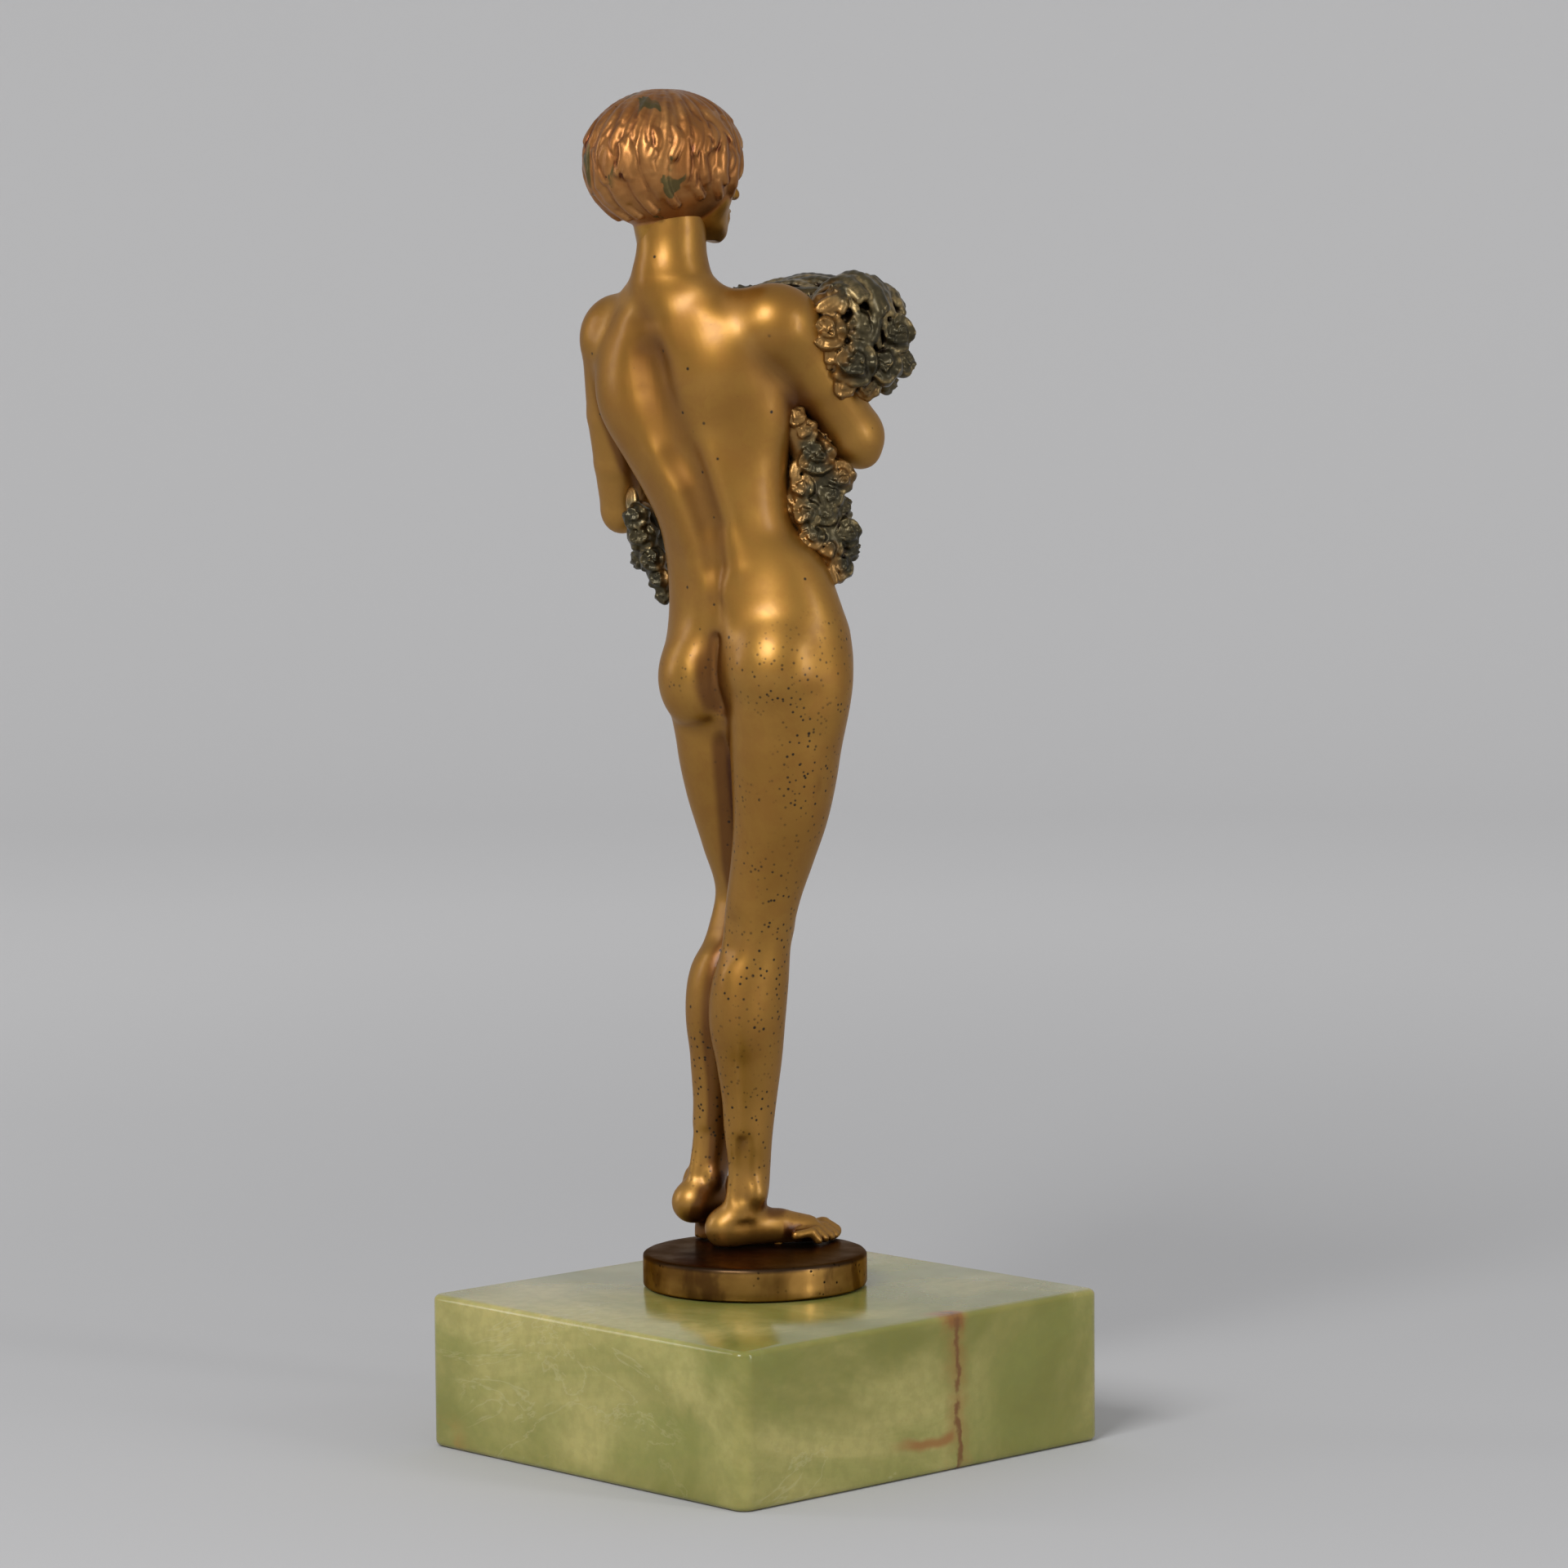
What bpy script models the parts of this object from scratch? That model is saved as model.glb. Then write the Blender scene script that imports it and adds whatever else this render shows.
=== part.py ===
"""A bronze dancer with an armful of roses, on a bronze disc and an onyx plinth.

Everything is in metres, +Z up. The origin is at the middle of the plinth's underside, and the
figure faces -Y, so that her left side is +X. The bronze is an assembly, as it would be cast: a
body, a head and two arms that meet at dowelled joints, three castings of roses, and a disc that
a stud and a nut pull down on the plinth.
"""
import math

import bmesh
import bpy
from mathutils import Matrix, Vector

# Plinth
PLINTH_WIDTH = 0.080
PLINTH_DEPTH = 0.085
PLINTH_HEIGHT = 0.0265
PLINTH_CORNER = 0.0028
PLINTH_EDGE = 0.0012

# Disc under the figure, a little off the plinth's middle
DISC_DIAMETER = 0.0393
DISC_HEIGHT = 0.006
DISC_EDGE = 0.0009
DISC_X = 0.0062
DISC_Y = -0.0036

# Figure, from the disc to the crown of her hair
FIGURE_HEIGHT = 0.2015

# Fixings
STUD_DIAMETER = 0.006
STUD_IN_DISC = 0.004
STUD_PAST_NUT = 0.001
WASHER_DIAMETER = 0.018
WASHER_THICKNESS = 0.0015
NUT_ACROSS_FLATS = 0.010
NUT_HEIGHT = 0.005
COUNTERBORE_DIAMETER = 0.022
COUNTERBORE_DEPTH = 0.011
FOOT_DOWEL_DIAMETER = 0.002
FOOT_DOWEL_IN_DISC = 0.004
FOOT_DOWEL_IN_FOOT = 0.0025
NECK_DOWEL_DIAMETER = 0.003
NECK_DOWEL_LENGTH = 0.010
ARM_DOWEL_DIAMETER = 0.0022
ARM_DOWEL_LENGTH = 0.007

# Clearances between pieces that touch, and round a pin in its hole
GAP = 0.0003
BORE_CLEARANCE = 0.0003

# Fineness
VOXEL = 0.0009
RING_POINTS = 32
ROUND = 64
DOWEL_SIDES = 24
BODY_TRIANGLES = 3200
HEAD_TRIANGLES = 1200
ARM_TRIANGLES = 700
BOUQUET_TRIANGLES = 2600
TRAIL_TRIANGLES = 600
SHARP_ANGLE = math.radians(60)
SMOOTH_ANGLE = math.radians(35)

# A cutter that clears a casting grows by this many gaps, to allow for its flat facets
GROWTH = 1.15

# The tables below are in units of a figure 201.5 units tall. Each row of a loft is its height,
# the middle of its section across and front to back, its half width, its depth behind and in
# front of that middle, and how far it is turned, in degrees.
TABLE_HEIGHT = 201.5
UNIT = FIGURE_HEIGHT / TABLE_HEIGHT

TORSO = (
    (76.0, 0.4, -2.4, 5.0, 1.0, 2.0, 8),
    (82.0, -0.2, -2.0, 10.0, 2.0, 5.8, 8),
    (88.0, -0.6, -1.5, 15.2, 5.2, 9.4, 8),
    (94.0, -0.8, -1.1, 17.5, 8.8, 11.0, 9),
    (100.0, -1.2, -1.1, 18.3, 10.7, 11.5, 10),
    (106.0, -1.1, -1.0, 17.8, 11.3, 11.5, 11),
    (114.6, -0.6, -0.3, 16.0, 10.8, 11.2, 13),
    (121.4, 0.9, 0.6, 14.3, 10.2, 10.4, 17),
    (126.0, 2.4, 2.4, 12.4, 9.8, 9.9, 20),
    (133.0, 3.8, 4.2, 13.1, 10.0, 10.4, 24),
    (137.6, 4.6, 5.3, 14.5, 10.0, 10.8, 25),
    (147.0, 5.6, 7.3, 17.6, 9.6, 10.8, 23),
    (154.0, 6.0, 8.5, 17.2, 8.6, 9.6, 19),
    (160.0, 6.3, 9.4, 14.0, 7.6, 8.0, 17),
    (165.0, 6.6, 10.6, 9.5, 6.6, 6.4, 15),
    (169.0, 6.9, 11.2, 6.8, 6.0, 5.9, 15),
)
RIGHT_LEG = (
    (5.0, 5.4, -1.6, 3.4, 4.0, 4.6, 0),
    (10.0, 4.9, -2.6, 3.5, 4.1, 4.4, 0),
    (14.0, 4.7, -2.9, 3.5, 4.1, 4.3, 0),
    (18.5, 4.3, -2.7, 3.8, 4.6, 4.4, 0),
    (26.0, 3.7, -2.6, 4.3, 5.4, 5.0, 0),
    (33.0, 3.0, -2.1, 5.2, 6.6, 5.8, 0),
    (40.0, 2.3, -1.3, 5.9, 7.2, 6.6, 0),
    (47.0, 1.5, -1.2, 6.0, 7.0, 6.8, 0),
    (54.0, 0.4, -1.3, 5.8, 6.1, 6.4, 0),
    (61.0, -1.0, -1.6, 6.3, 6.5, 6.6, 0),
    (68.0, -3.0, -2.0, 7.0, 7.3, 7.4, 0),
    (75.0, -5.0, -2.1, 7.9, 8.3, 8.4, 0),
    (82.0, -6.3, -2.0, 8.7, 9.4, 9.2, 0),
    (90.0, -7.5, -1.6, 9.3, 10.4, 9.8, 0),
    (97.0, -8.4, -1.2, 9.4, 10.6, 9.8, 0),
)
LEFT_LEG = (
    (7.0, 15.2, -1.6, 3.1, 3.8, 4.6, 0),
    (12.0, 14.9, -2.4, 3.2, 3.9, 4.2, 0),
    (17.0, 14.5, -3.3, 3.4, 4.0, 4.0, 0),
    (24.0, 13.7, -4.1, 4.0, 4.7, 4.6, 0),
    (32.0, 12.8, -4.3, 4.9, 6.0, 5.4, 0),
    (40.0, 11.8, -4.0, 5.6, 7.0, 6.3, 0),
    (48.0, 10.8, -4.5, 5.8, 6.9, 6.8, 0),
    (56.0, 9.8, -6.7, 5.7, 6.0, 6.6, 0),
    (62.0, 9.2, -8.1, 6.0, 6.2, 6.4, 0),
    (70.0, 8.8, -5.9, 6.7, 7.0, 7.0, 0),
    (80.0, 8.2, -3.2, 7.7, 8.5, 8.2, 0),
    (88.0, 7.5, -1.6, 8.3, 9.4, 9.0, 0),
    (96.0, 7.0, -1.3, 8.6, 10.0, 9.4, 0),
)

# Limbs are chains of (x, y, z, radius)
NECK = ((6.9, 11.2, 160, 6.6), (6.8, 11.1, 171, 6.0), (7.1, 11.0, 178, 5.9), (7.6, 11.2, 184, 6.0))
LEFT_SHOULDER_LINE = ((7, 12, 169, 3.0), (14.5, 11.2, 165.2, 3.0), (21, 10.6, 162.8, 3.0))
RIGHT_SHOULDER_LINE = ((7, 11.6, 168.6, 3.0), (-1, 8.3, 164.2, 3.0), (-9, 4, 163.8, 3.0))
RIGHT_FOOT = ((7.0, 0.5, 3.4, 3.6), (4.9, -4.1, 3.6, 3.5), (1.5, -11.3, 2.6, 3.2), (-0.6, -15.9, 1.8, 2.4))
LEFT_FOOT = ((15.5, 0.2, 7, 3.5), (15.2, -4, 6.5, 3.6), (13.6, -10.5, 3.3, 3.1),
             (12.9, -15, 1.8, 2.2))
LEFT_ARM = ((22.9, 10.3, 157.5, 5.6), (27, 7, 146, 4.7), (28.7, 4.5, 137.5, 4.3),
            (30.7, 1.5, 129.3, 4.1), (28.2, -4, 130, 4.1), (24, -10, 131.5, 3.8),
            (16.5, -18.6, 134, 2.8), (10.2, -22.4, 136, 2.5), (5, -23.4, 136.8, 1.9))
RIGHT_ARM = ((-10.0, 1.5, 160.5, 6.0), (-11.0, -6.5, 152, 5.6), (-11.0, -13.5, 143.5, 5.0),
             (-6.5, -18.5, 143, 4.6), (1, -21, 146, 4.0), (13, -23.2, 150.5, 2.8),
             (20, -22.0, 153.5, 2.4), (26, -18.5, 156, 1.9))
LEFT_SHOULDER = ((22.3, 10.3, 159.8), (6.4, 6.2, 6.4))
RIGHT_SHOULDER = ((-9.6, 2.0, 161.0), (6.4, 7.0, 6.2))
BUTTOCKS = (((5.4, 5.2, 100.3), (8.5, 8.3, 9.6)), ((-9.7, 2.7, 102.3), (8.7, 8.5, 9.8)))
NECK_JOINT = 171.0
SKULL = ((8.2, 11.6, 189.3), (12.4, 14.0, 12.3))
JAW = ((6.6, 5.6, 181.2), (6.2, 6.2, 7.2))
RIGHT_FOOT_PIN = (2.9, -8.1)
LEFT_FOOT_PIN = (13.6, -10.5)
HEEL_WEB = ((15.4, -2.8, 0.8), (2.8, 1.6, 5.4))

# Roses: cores, each an ellipsoid and how many flowers cover it, and chains of single flowers
ROSE_RADIUS = 3.9
ROSE_OVERLAP = 1.7
TRAIL_TAPER = 0.09
BOUQUET_CORES = (((1, -16, 160), (19, 7.4, 7.6), 26), ((-14.2, -12.2, 160), (5.8, 6.6, 6.8), 16),
                 ((-17.0, -9.5, 155), (3.4, 4.6, 5.2), 10), ((5, -12.5, 145), (12, 7, 11.4), 22))
LEFT_TRAIL = ((25.6, 1.6, 127), (23.8, 1.6, 122.6), (22.2, 1.0, 118.6), (20.9, 0.8, 115.6))
RIGHT_TRAIL = ((-9.9, -3.2, 143), (-9.8, -7.0, 138.4), (-10.8, -9.6, 133.6), (-9.6, -6.8, 129.6),
               (-11.0, -10.4, 125.6), (-10.4, -8.8, 121.4))


def remove_all():
    for obj in list(bpy.data.objects):
        bpy.data.objects.remove(obj)


def make_collection(name):
    group = bpy.data.collections.new(name)
    bpy.context.scene.collection.children.link(group)
    return group


def make_material(name, colour, roughness, metallic):
    material = bpy.data.materials.new(name)
    material.use_nodes = True
    shader = material.node_tree.nodes["Principled BSDF"]
    shader.inputs["Base Color"].default_value = (*colour, 1.0)
    shader.inputs["Roughness"].default_value = roughness
    shader.inputs["Metallic"].default_value = metallic
    return material


def make_object(name, bm, material, parent=None):
    """Put a bmesh into a new object of the statuette."""
    mesh = bpy.data.meshes.new(name)
    bm.to_mesh(mesh)
    bm.free()
    mesh.materials.append(material)
    obj = bpy.data.objects.new(name, mesh)
    obj.parent = parent
    PARTS.objects.link(obj)
    return obj


def as_cutter(obj):
    """Keep an object as a tool that shapes others, and not as a part."""
    for group in list(obj.users_collection):
        group.objects.unlink(obj)
    CUTTERS.objects.link(obj)
    obj.hide_render = True
    obj.display_type = "WIRE"
    return obj


def carve(obj, cutter, solver="EXACT"):
    modifier = obj.modifiers.new(cutter.name, "BOOLEAN")
    modifier.operation = "DIFFERENCE"
    modifier.object = cutter
    modifier.solver = solver


def settle(obj):
    """Swap an object's mesh for the shape that its modifiers give it."""
    graph = bpy.context.evaluated_depsgraph_get()
    mesh = bpy.data.meshes.new_from_object(obj.evaluated_get(graph))
    obj.modifiers.clear()
    obj.data = mesh


def triangle_count(mesh):
    return sum(len(face.vertices) - 2 for face in mesh.polygons)


def melt(obj, triangles):
    """Flow the overlapping forms of a casting into one skin of about that many triangles."""
    remesh = obj.modifiers.new("one skin", "REMESH")
    remesh.mode = "VOXEL"
    remesh.voxel_size = VOXEL
    smooth = obj.modifiers.new("soft joins", "SMOOTH")
    smooth.factor = 0.5
    smooth.iterations = 6
    settle(obj)
    decimate = obj.modifiers.new("fewer faces", "DECIMATE")
    decimate.ratio = triangles / triangle_count(obj.data)
    settle(obj)


def grown_copy(obj):
    """A cutter that stands one gap outside an object."""
    copy = bpy.data.objects.new("gap round " + obj.name, obj.data.copy())
    copy.parent = obj.parent
    PARTS.objects.link(copy)
    grow = copy.modifiers.new("gap", "DISPLACE")
    grow.strength = GAP * GROWTH
    grow.mid_level = 0.0
    return as_cutter(copy)


def keep_largest_piece(obj):
    """Drop the crumbs that a cut leaves beside the main solid."""
    bm = bmesh.new()
    bm.from_mesh(obj.data)
    left = set(bm.verts)
    pieces = []
    while left:
        front = [left.pop()]
        piece = set(front)
        while front:
            for edge in front.pop().link_edges:
                for vert in edge.verts:
                    if vert not in piece:
                        piece.add(vert)
                        front.append(vert)
        left -= piece
        pieces.append(piece)
    largest = max(pieces, key=len)
    crumbs = [vert for vert in bm.verts if vert not in largest]
    bmesh.ops.delete(bm, geom=crumbs, context="VERTS")
    bm.to_mesh(obj.data)
    bm.free()


def add_loft(bm, rows):
    """Skin a stack of oval sections, closed at both ends."""
    rings = []
    for height, x, y, width, back, front, turn in rows:
        turned = Matrix.Rotation(math.radians(turn), 3, "Z")
        ring = []
        for i in range(RING_POINTS):
            angle = math.tau * i / RING_POINTS
            depth = back if math.sin(angle) > 0 else front
            across = turned @ Vector((width * math.cos(angle), depth * math.sin(angle), 0.0))
            ring.append(bm.verts.new((across + Vector((x, y, height))) * UNIT))
        rings.append(ring)
    for lower, upper in zip(rings, rings[1:]):
        for i in range(RING_POINTS):
            j = (i + 1) % RING_POINTS
            bm.faces.new((lower[i], lower[j], upper[j], upper[i]))
    bm.faces.new(reversed(rings[0]))
    bm.faces.new(rings[-1])


def add_ball(bm, centre, radii, subdivisions=3):
    shape = Matrix.Translation(Vector(centre) * UNIT)
    shape = shape @ Matrix.Diagonal((*(Vector(radii) * UNIT), 1.0))
    bmesh.ops.create_icosphere(bm, subdivisions=subdivisions, radius=1.0, matrix=shape)


def add_limb(bm, chain):
    """Wrap each pair of neighbouring balls of a chain in a tapered hull."""
    for one, two in zip(chain, chain[1:]):
        hull = bmesh.new()
        for x, y, z, radius in (one, two):
            add_ball(hull, (x, y, z), (radius, radius, radius))
        result = bmesh.ops.convex_hull(hull, input=hull.verts)
        inner = {item for item in result["geom_interior"] if isinstance(item, bmesh.types.BMVert)}
        bmesh.ops.delete(hull, geom=list(inner), context="VERTS")
        mesh = bpy.data.meshes.new("hull")
        hull.to_mesh(mesh)
        hull.free()
        bm.from_mesh(mesh)
        bpy.data.meshes.remove(mesh)


def rod(name, diameter, start, end, material, parent=None, segments=ROUND):
    """A round bar between two points."""
    start = Vector(start)
    end = Vector(end)
    along = end - start
    turn = along.to_track_quat("Z", "Y").to_matrix().to_4x4()
    bm = bmesh.new()
    bmesh.ops.create_cone(bm, cap_ends=True, segments=segments, radius1=diameter / 2,
                          radius2=diameter / 2, depth=along.length)
    obj = make_object(name, bm, material, parent)
    obj.matrix_local = Matrix.Translation((start + end) / 2) @ turn
    return obj


def block(name, size, centre, material, parent=None):
    bm = bmesh.new()
    bmesh.ops.create_cube(bm, size=1.0, matrix=Matrix.Diagonal((*size, 1.0)))
    obj = make_object(name, bm, material, parent)
    obj.location = centre
    return obj


def mark_upright_edges(obj):
    """Give the four vertical edges of a block full bevel weight."""
    weights = obj.data.attributes.new("bevel_weight_edge", "FLOAT", "EDGE")
    for edge in obj.data.edges:
        one, two = (obj.data.vertices[i].co for i in edge.vertices)
        weights.data[edge.index].value = 1.0 if abs(one.z - two.z) > GAP else 0.0


def round_edges(obj, width, segments, chosen="ANGLE"):
    """Round an object's sharp edges, or only those with bevel weight."""
    bevel = obj.modifiers.new("rounding", "BEVEL")
    bevel.limit_method = chosen
    bevel.angle_limit = SHARP_ANGLE
    bevel.width = width
    bevel.segments = segments
    settle(obj)


def on_axis(height):
    """A point on the axis of the disc, its stud and its nut."""
    return (DISC_X, DISC_Y, height)


def make_plinth():
    """The onyx block, with a stepped hole for the stud and its nut."""
    size = (PLINTH_WIDTH, PLINTH_DEPTH, PLINTH_HEIGHT)
    plinth = block("onyx_plinth", size, (0, 0, PLINTH_HEIGHT / 2), ONYX)
    mark_upright_edges(plinth)
    round_edges(plinth, PLINTH_CORNER, 5, "WEIGHT")
    round_edges(plinth, PLINTH_EDGE, 3)
    hole = rod("stud_hole", STUD_DIAMETER + 2 * BORE_CLEARANCE, on_axis(-DISC_HEIGHT),
               on_axis(PLINTH_HEIGHT + DISC_HEIGHT), ONYX)
    carve(plinth, as_cutter(hole))
    counterbore = rod("counterbore", COUNTERBORE_DIAMETER, on_axis(-DISC_HEIGHT),
                      on_axis(COUNTERBORE_DEPTH), ONYX)
    carve(plinth, as_cutter(counterbore))


def make_disc():
    """The turned base, whose rim has its edges rounded."""
    disc = rod("base_disc", DISC_DIAMETER, on_axis(PLINTH_HEIGHT + GAP),
               on_axis(PLINTH_HEIGHT + DISC_HEIGHT), BRONZE_DARK, segments=96)
    round_edges(disc, DISC_EDGE, 4)
    socket = rod("stud_socket", STUD_DIAMETER + 2 * BORE_CLEARANCE, on_axis(0),
                 on_axis(PLINTH_HEIGHT + STUD_IN_DISC + GAP), BRONZE)
    carve(disc, as_cutter(socket))
    return disc


def make_fixings():
    """The stud, its washer and its nut, all on the disc's axis."""
    washer_top = COUNTERBORE_DEPTH - GAP
    nut_top = washer_top - WASHER_THICKNESS - GAP
    nut_foot = nut_top - NUT_HEIGHT
    rod("mounting_stud", STUD_DIAMETER, on_axis(nut_foot - STUD_PAST_NUT),
        on_axis(PLINTH_HEIGHT + STUD_IN_DISC), STEEL, segments=32)
    bore = rod("fixing_bore", STUD_DIAMETER + 2 * BORE_CLEARANCE, on_axis(0),
               on_axis(PLINTH_HEIGHT), STEEL, segments=32)
    as_cutter(bore)
    washer = rod("washer", WASHER_DIAMETER, on_axis(washer_top - WASHER_THICKNESS),
                 on_axis(washer_top), STEEL, segments=48)
    carve(washer, bore)
    nut = rod("hex_nut", NUT_ACROSS_FLATS / math.cos(math.pi / 6), on_axis(nut_foot),
              on_axis(nut_top), STEEL, segments=6)
    carve(nut, bore)


def make_body(figure):
    """Torso, legs and feet, with the web that carries the lifted heel."""
    bm = bmesh.new()
    for rows in (TORSO, RIGHT_LEG, LEFT_LEG):
        add_loft(bm, rows)
    for chain in (NECK, LEFT_SHOULDER_LINE, RIGHT_SHOULDER_LINE, RIGHT_FOOT, LEFT_FOOT):
        add_limb(bm, chain)
    for centre, radii in (*BUTTOCKS, LEFT_SHOULDER, RIGHT_SHOULDER, HEEL_WEB):
        add_ball(bm, centre, radii)
    body = make_object("body_casting", bm, BRONZE, figure)
    melt(body, BODY_TRIANGLES)
    around = grown_copy(body)
    trim_above(body, NECK_JOINT * UNIT - GAP / 2)
    trim_below(body, GAP)
    settle(body)
    return body, around


def half_space(name, low, high, figure):
    """A wide cutter between two heights of the figure."""
    width = FIGURE_HEIGHT
    cutter = block(name, (width, width, high - low), (0, 0, (low + high) / 2), BRONZE, figure)
    return as_cutter(cutter)


def trim_above(obj, height):
    carve(obj, half_space("above " + obj.name, height, 1.5 * FIGURE_HEIGHT, obj.parent))


def trim_below(obj, height):
    carve(obj, half_space("below " + obj.name, height - FIGURE_HEIGHT, height, obj.parent))


def make_head(figure):
    """Skull with its cap of hair, jaw and neck, down to the joint in the neck."""
    bm = bmesh.new()
    add_ball(bm, *SKULL)
    add_ball(bm, *JAW)
    add_limb(bm, NECK)
    head = make_object("head_casting", bm, BRONZE, figure)
    melt(head, HEAD_TRIANGLES)
    trim_below(head, NECK_JOINT * UNIT + GAP / 2)
    settle(head)
    return head


def fit_between(obj, neighbours):
    """Cut an object clear of its neighbours, and return the cutter for those that come next.

    A grown cutter can fold on itself in a crease, which only the MANIFOLD solver takes.
    """
    around = grown_copy(obj)
    for neighbour in neighbours:
        carve(obj, neighbour, "MANIFOLD")
    settle(obj)
    keep_largest_piece(obj)
    return around


def make_arm(name, chain, figure, neighbours):
    """Upper arm, forearm and hand, from a socket that fits the shoulder."""
    bm = bmesh.new()
    add_limb(bm, chain)
    arm = make_object(name, bm, BRONZE, figure)
    melt(arm, ARM_TRIANGLES)
    return arm, fit_between(arm, neighbours)


def cover_with_roses(bm, centre, radii, count):
    """Set rose heads on an ellipsoid along a spiral that spreads them evenly."""
    golden_turn = math.pi * (3 - math.sqrt(5))
    for i in range(count):
        height = 1 - 2 * (i + 0.5) / count
        ring = math.sqrt(1 - height * height)
        direction = Vector((ring * math.cos(i * golden_turn), ring * math.sin(i * golden_turn), height))
        spot = [c + r * d for c, r, d in zip(centre, radii, direction)]
        add_ball(bm, spot, [ROSE_RADIUS] * 3, subdivisions=2)


def make_bouquet(figure, neighbours):
    """The armful of roses in front of the chest."""
    bm = bmesh.new()
    for centre, radii, flowers in BOUQUET_CORES:
        add_ball(bm, centre, radii)
        cover_with_roses(bm, centre, [radius - ROSE_OVERLAP for radius in radii], flowers)
    bouquet = make_object("rose_bouquet", bm, ROSES, figure)
    melt(bouquet, BOUQUET_TRIANGLES)
    return fit_between(bouquet, neighbours)


def make_trail(name, points, figure, neighbours):
    """A hanging spray: rose heads strung down a chain, tapering to a bud."""
    bm = bmesh.new()
    for i, point in enumerate(points):
        add_ball(bm, point, [ROSE_RADIUS * (1 - TRAIL_TAPER * i)] * 3)
    trail = make_object(name, bm, ROSES, figure)
    melt(trail, TRAIL_TRIANGLES)
    fit_between(trail, neighbours)


def pin(name, diameter, start, end, figure, pieces):
    """A dowel, and its hole through the pieces that it joins, a clearance wider and longer."""
    rod(name, diameter, start, end, STEEL, figure, DOWEL_SIDES)
    overrun = (end - start).normalized() * BORE_CLEARANCE
    hole = rod("hole for " + name, diameter + 2 * BORE_CLEARANCE, start - overrun, end + overrun,
               STEEL, figure, DOWEL_SIDES)
    as_cutter(hole)
    for piece in pieces:
        carve(piece, hole)


def make_neck_dowel(figure, body, head):
    middle = Vector((*NECK[1][:2], NECK_JOINT)) * UNIT
    reach = Vector((0, 0, NECK_DOWEL_LENGTH / 2))
    pin("neck_dowel", NECK_DOWEL_DIAMETER, middle - reach, middle + reach, figure, (body, head))


def make_arm_dowel(name, figure, body, arm, chain, shoulder):
    """A pin across a shoulder joint, along the arm."""
    root = Vector(shoulder[0]) * UNIT
    along = (Vector(chain[1][:3]) * UNIT - root).normalized()
    middle = root + along * shoulder[1][2] * UNIT
    reach = along * ARM_DOWEL_LENGTH / 2
    pin(name, ARM_DOWEL_DIAMETER, middle - reach, middle + reach, figure, (body, arm))


def make_foot_dowel(name, figure, body, disc, x, y):
    """A pin that holds a foot to the disc."""
    sole = Vector((x, y, 0)) * UNIT
    depth = Vector((0, 0, FOOT_DOWEL_IN_DISC))
    height = Vector((0, 0, FOOT_DOWEL_IN_FOOT))
    pin(name, FOOT_DOWEL_DIAMETER, sole - depth, sole + height, figure, (body, disc))


def solids():
    return [obj for obj in PARTS.objects if obj.type == "MESH"]


def shade_all():
    for obj in solids():
        obj.data.shade_smooth()
        obj.data.set_sharp_from_angle(angle=SMOOTH_ANGLE)


remove_all()
PARTS = make_collection("rose dancer statuette")
CUTTERS = make_collection("cutters")
ONYX = make_material("green onyx", (0.42, 0.47, 0.22), 0.15, 0.0)
BRONZE = make_material("gilt bronze", (0.52, 0.29, 0.09), 0.30, 1.0)
BRONZE_DARK = make_material("brown bronze", (0.22, 0.11, 0.04), 0.22, 1.0)
ROSES = make_material("rose patina", (0.20, 0.15, 0.07), 0.40, 1.0)
STEEL = make_material("steel", (0.45, 0.45, 0.46), 0.35, 1.0)

make_plinth()
base = make_disc()
make_fixings()

origin = bpy.data.objects.new("figure", None)
origin.location = (DISC_X, DISC_Y, PLINTH_HEIGHT + DISC_HEIGHT)
PARTS.objects.link(origin)

body_casting, around_body = make_body(origin)
head_casting = make_head(origin)
left_arm, around_left_arm = make_arm("left_arm", LEFT_ARM, origin, [around_body])
right_arm, around_right_arm = make_arm("right_arm", RIGHT_ARM, origin, [around_body])
around = [around_body, around_left_arm, around_right_arm]
around.append(make_bouquet(origin, around))
make_trail("left_rose_trail", LEFT_TRAIL, origin, around)
make_trail("right_rose_trail", RIGHT_TRAIL, origin, around)

make_neck_dowel(origin, body_casting, head_casting)
make_arm_dowel("left_arm_dowel", origin, body_casting, left_arm, LEFT_ARM, LEFT_SHOULDER)
make_arm_dowel("right_arm_dowel", origin, body_casting, right_arm, RIGHT_ARM, RIGHT_SHOULDER)
make_foot_dowel("standing_foot_dowel", origin, body_casting, base, *RIGHT_FOOT_PIN)
make_foot_dowel("lifted_foot_dowel", origin, body_casting, base, *LEFT_FOOT_PIN)
shade_all()
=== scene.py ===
"""Looks of the bronze statuette: a figure with an armful of roses, on an onyx plinth.

The bronze is sculpted as clay: a grid of distances to the surface, to which forms are added, cut
and pressed, and whose surface is then meshed. Clay is measured in figure units, a 201.5th of the
figure's height, from the middle of the disc's top. She faces -Y, and her left is +X.
"""

import math

import bmesh
import bpy
import numpy as np
from mathutils import Matrix, Vector


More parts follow.
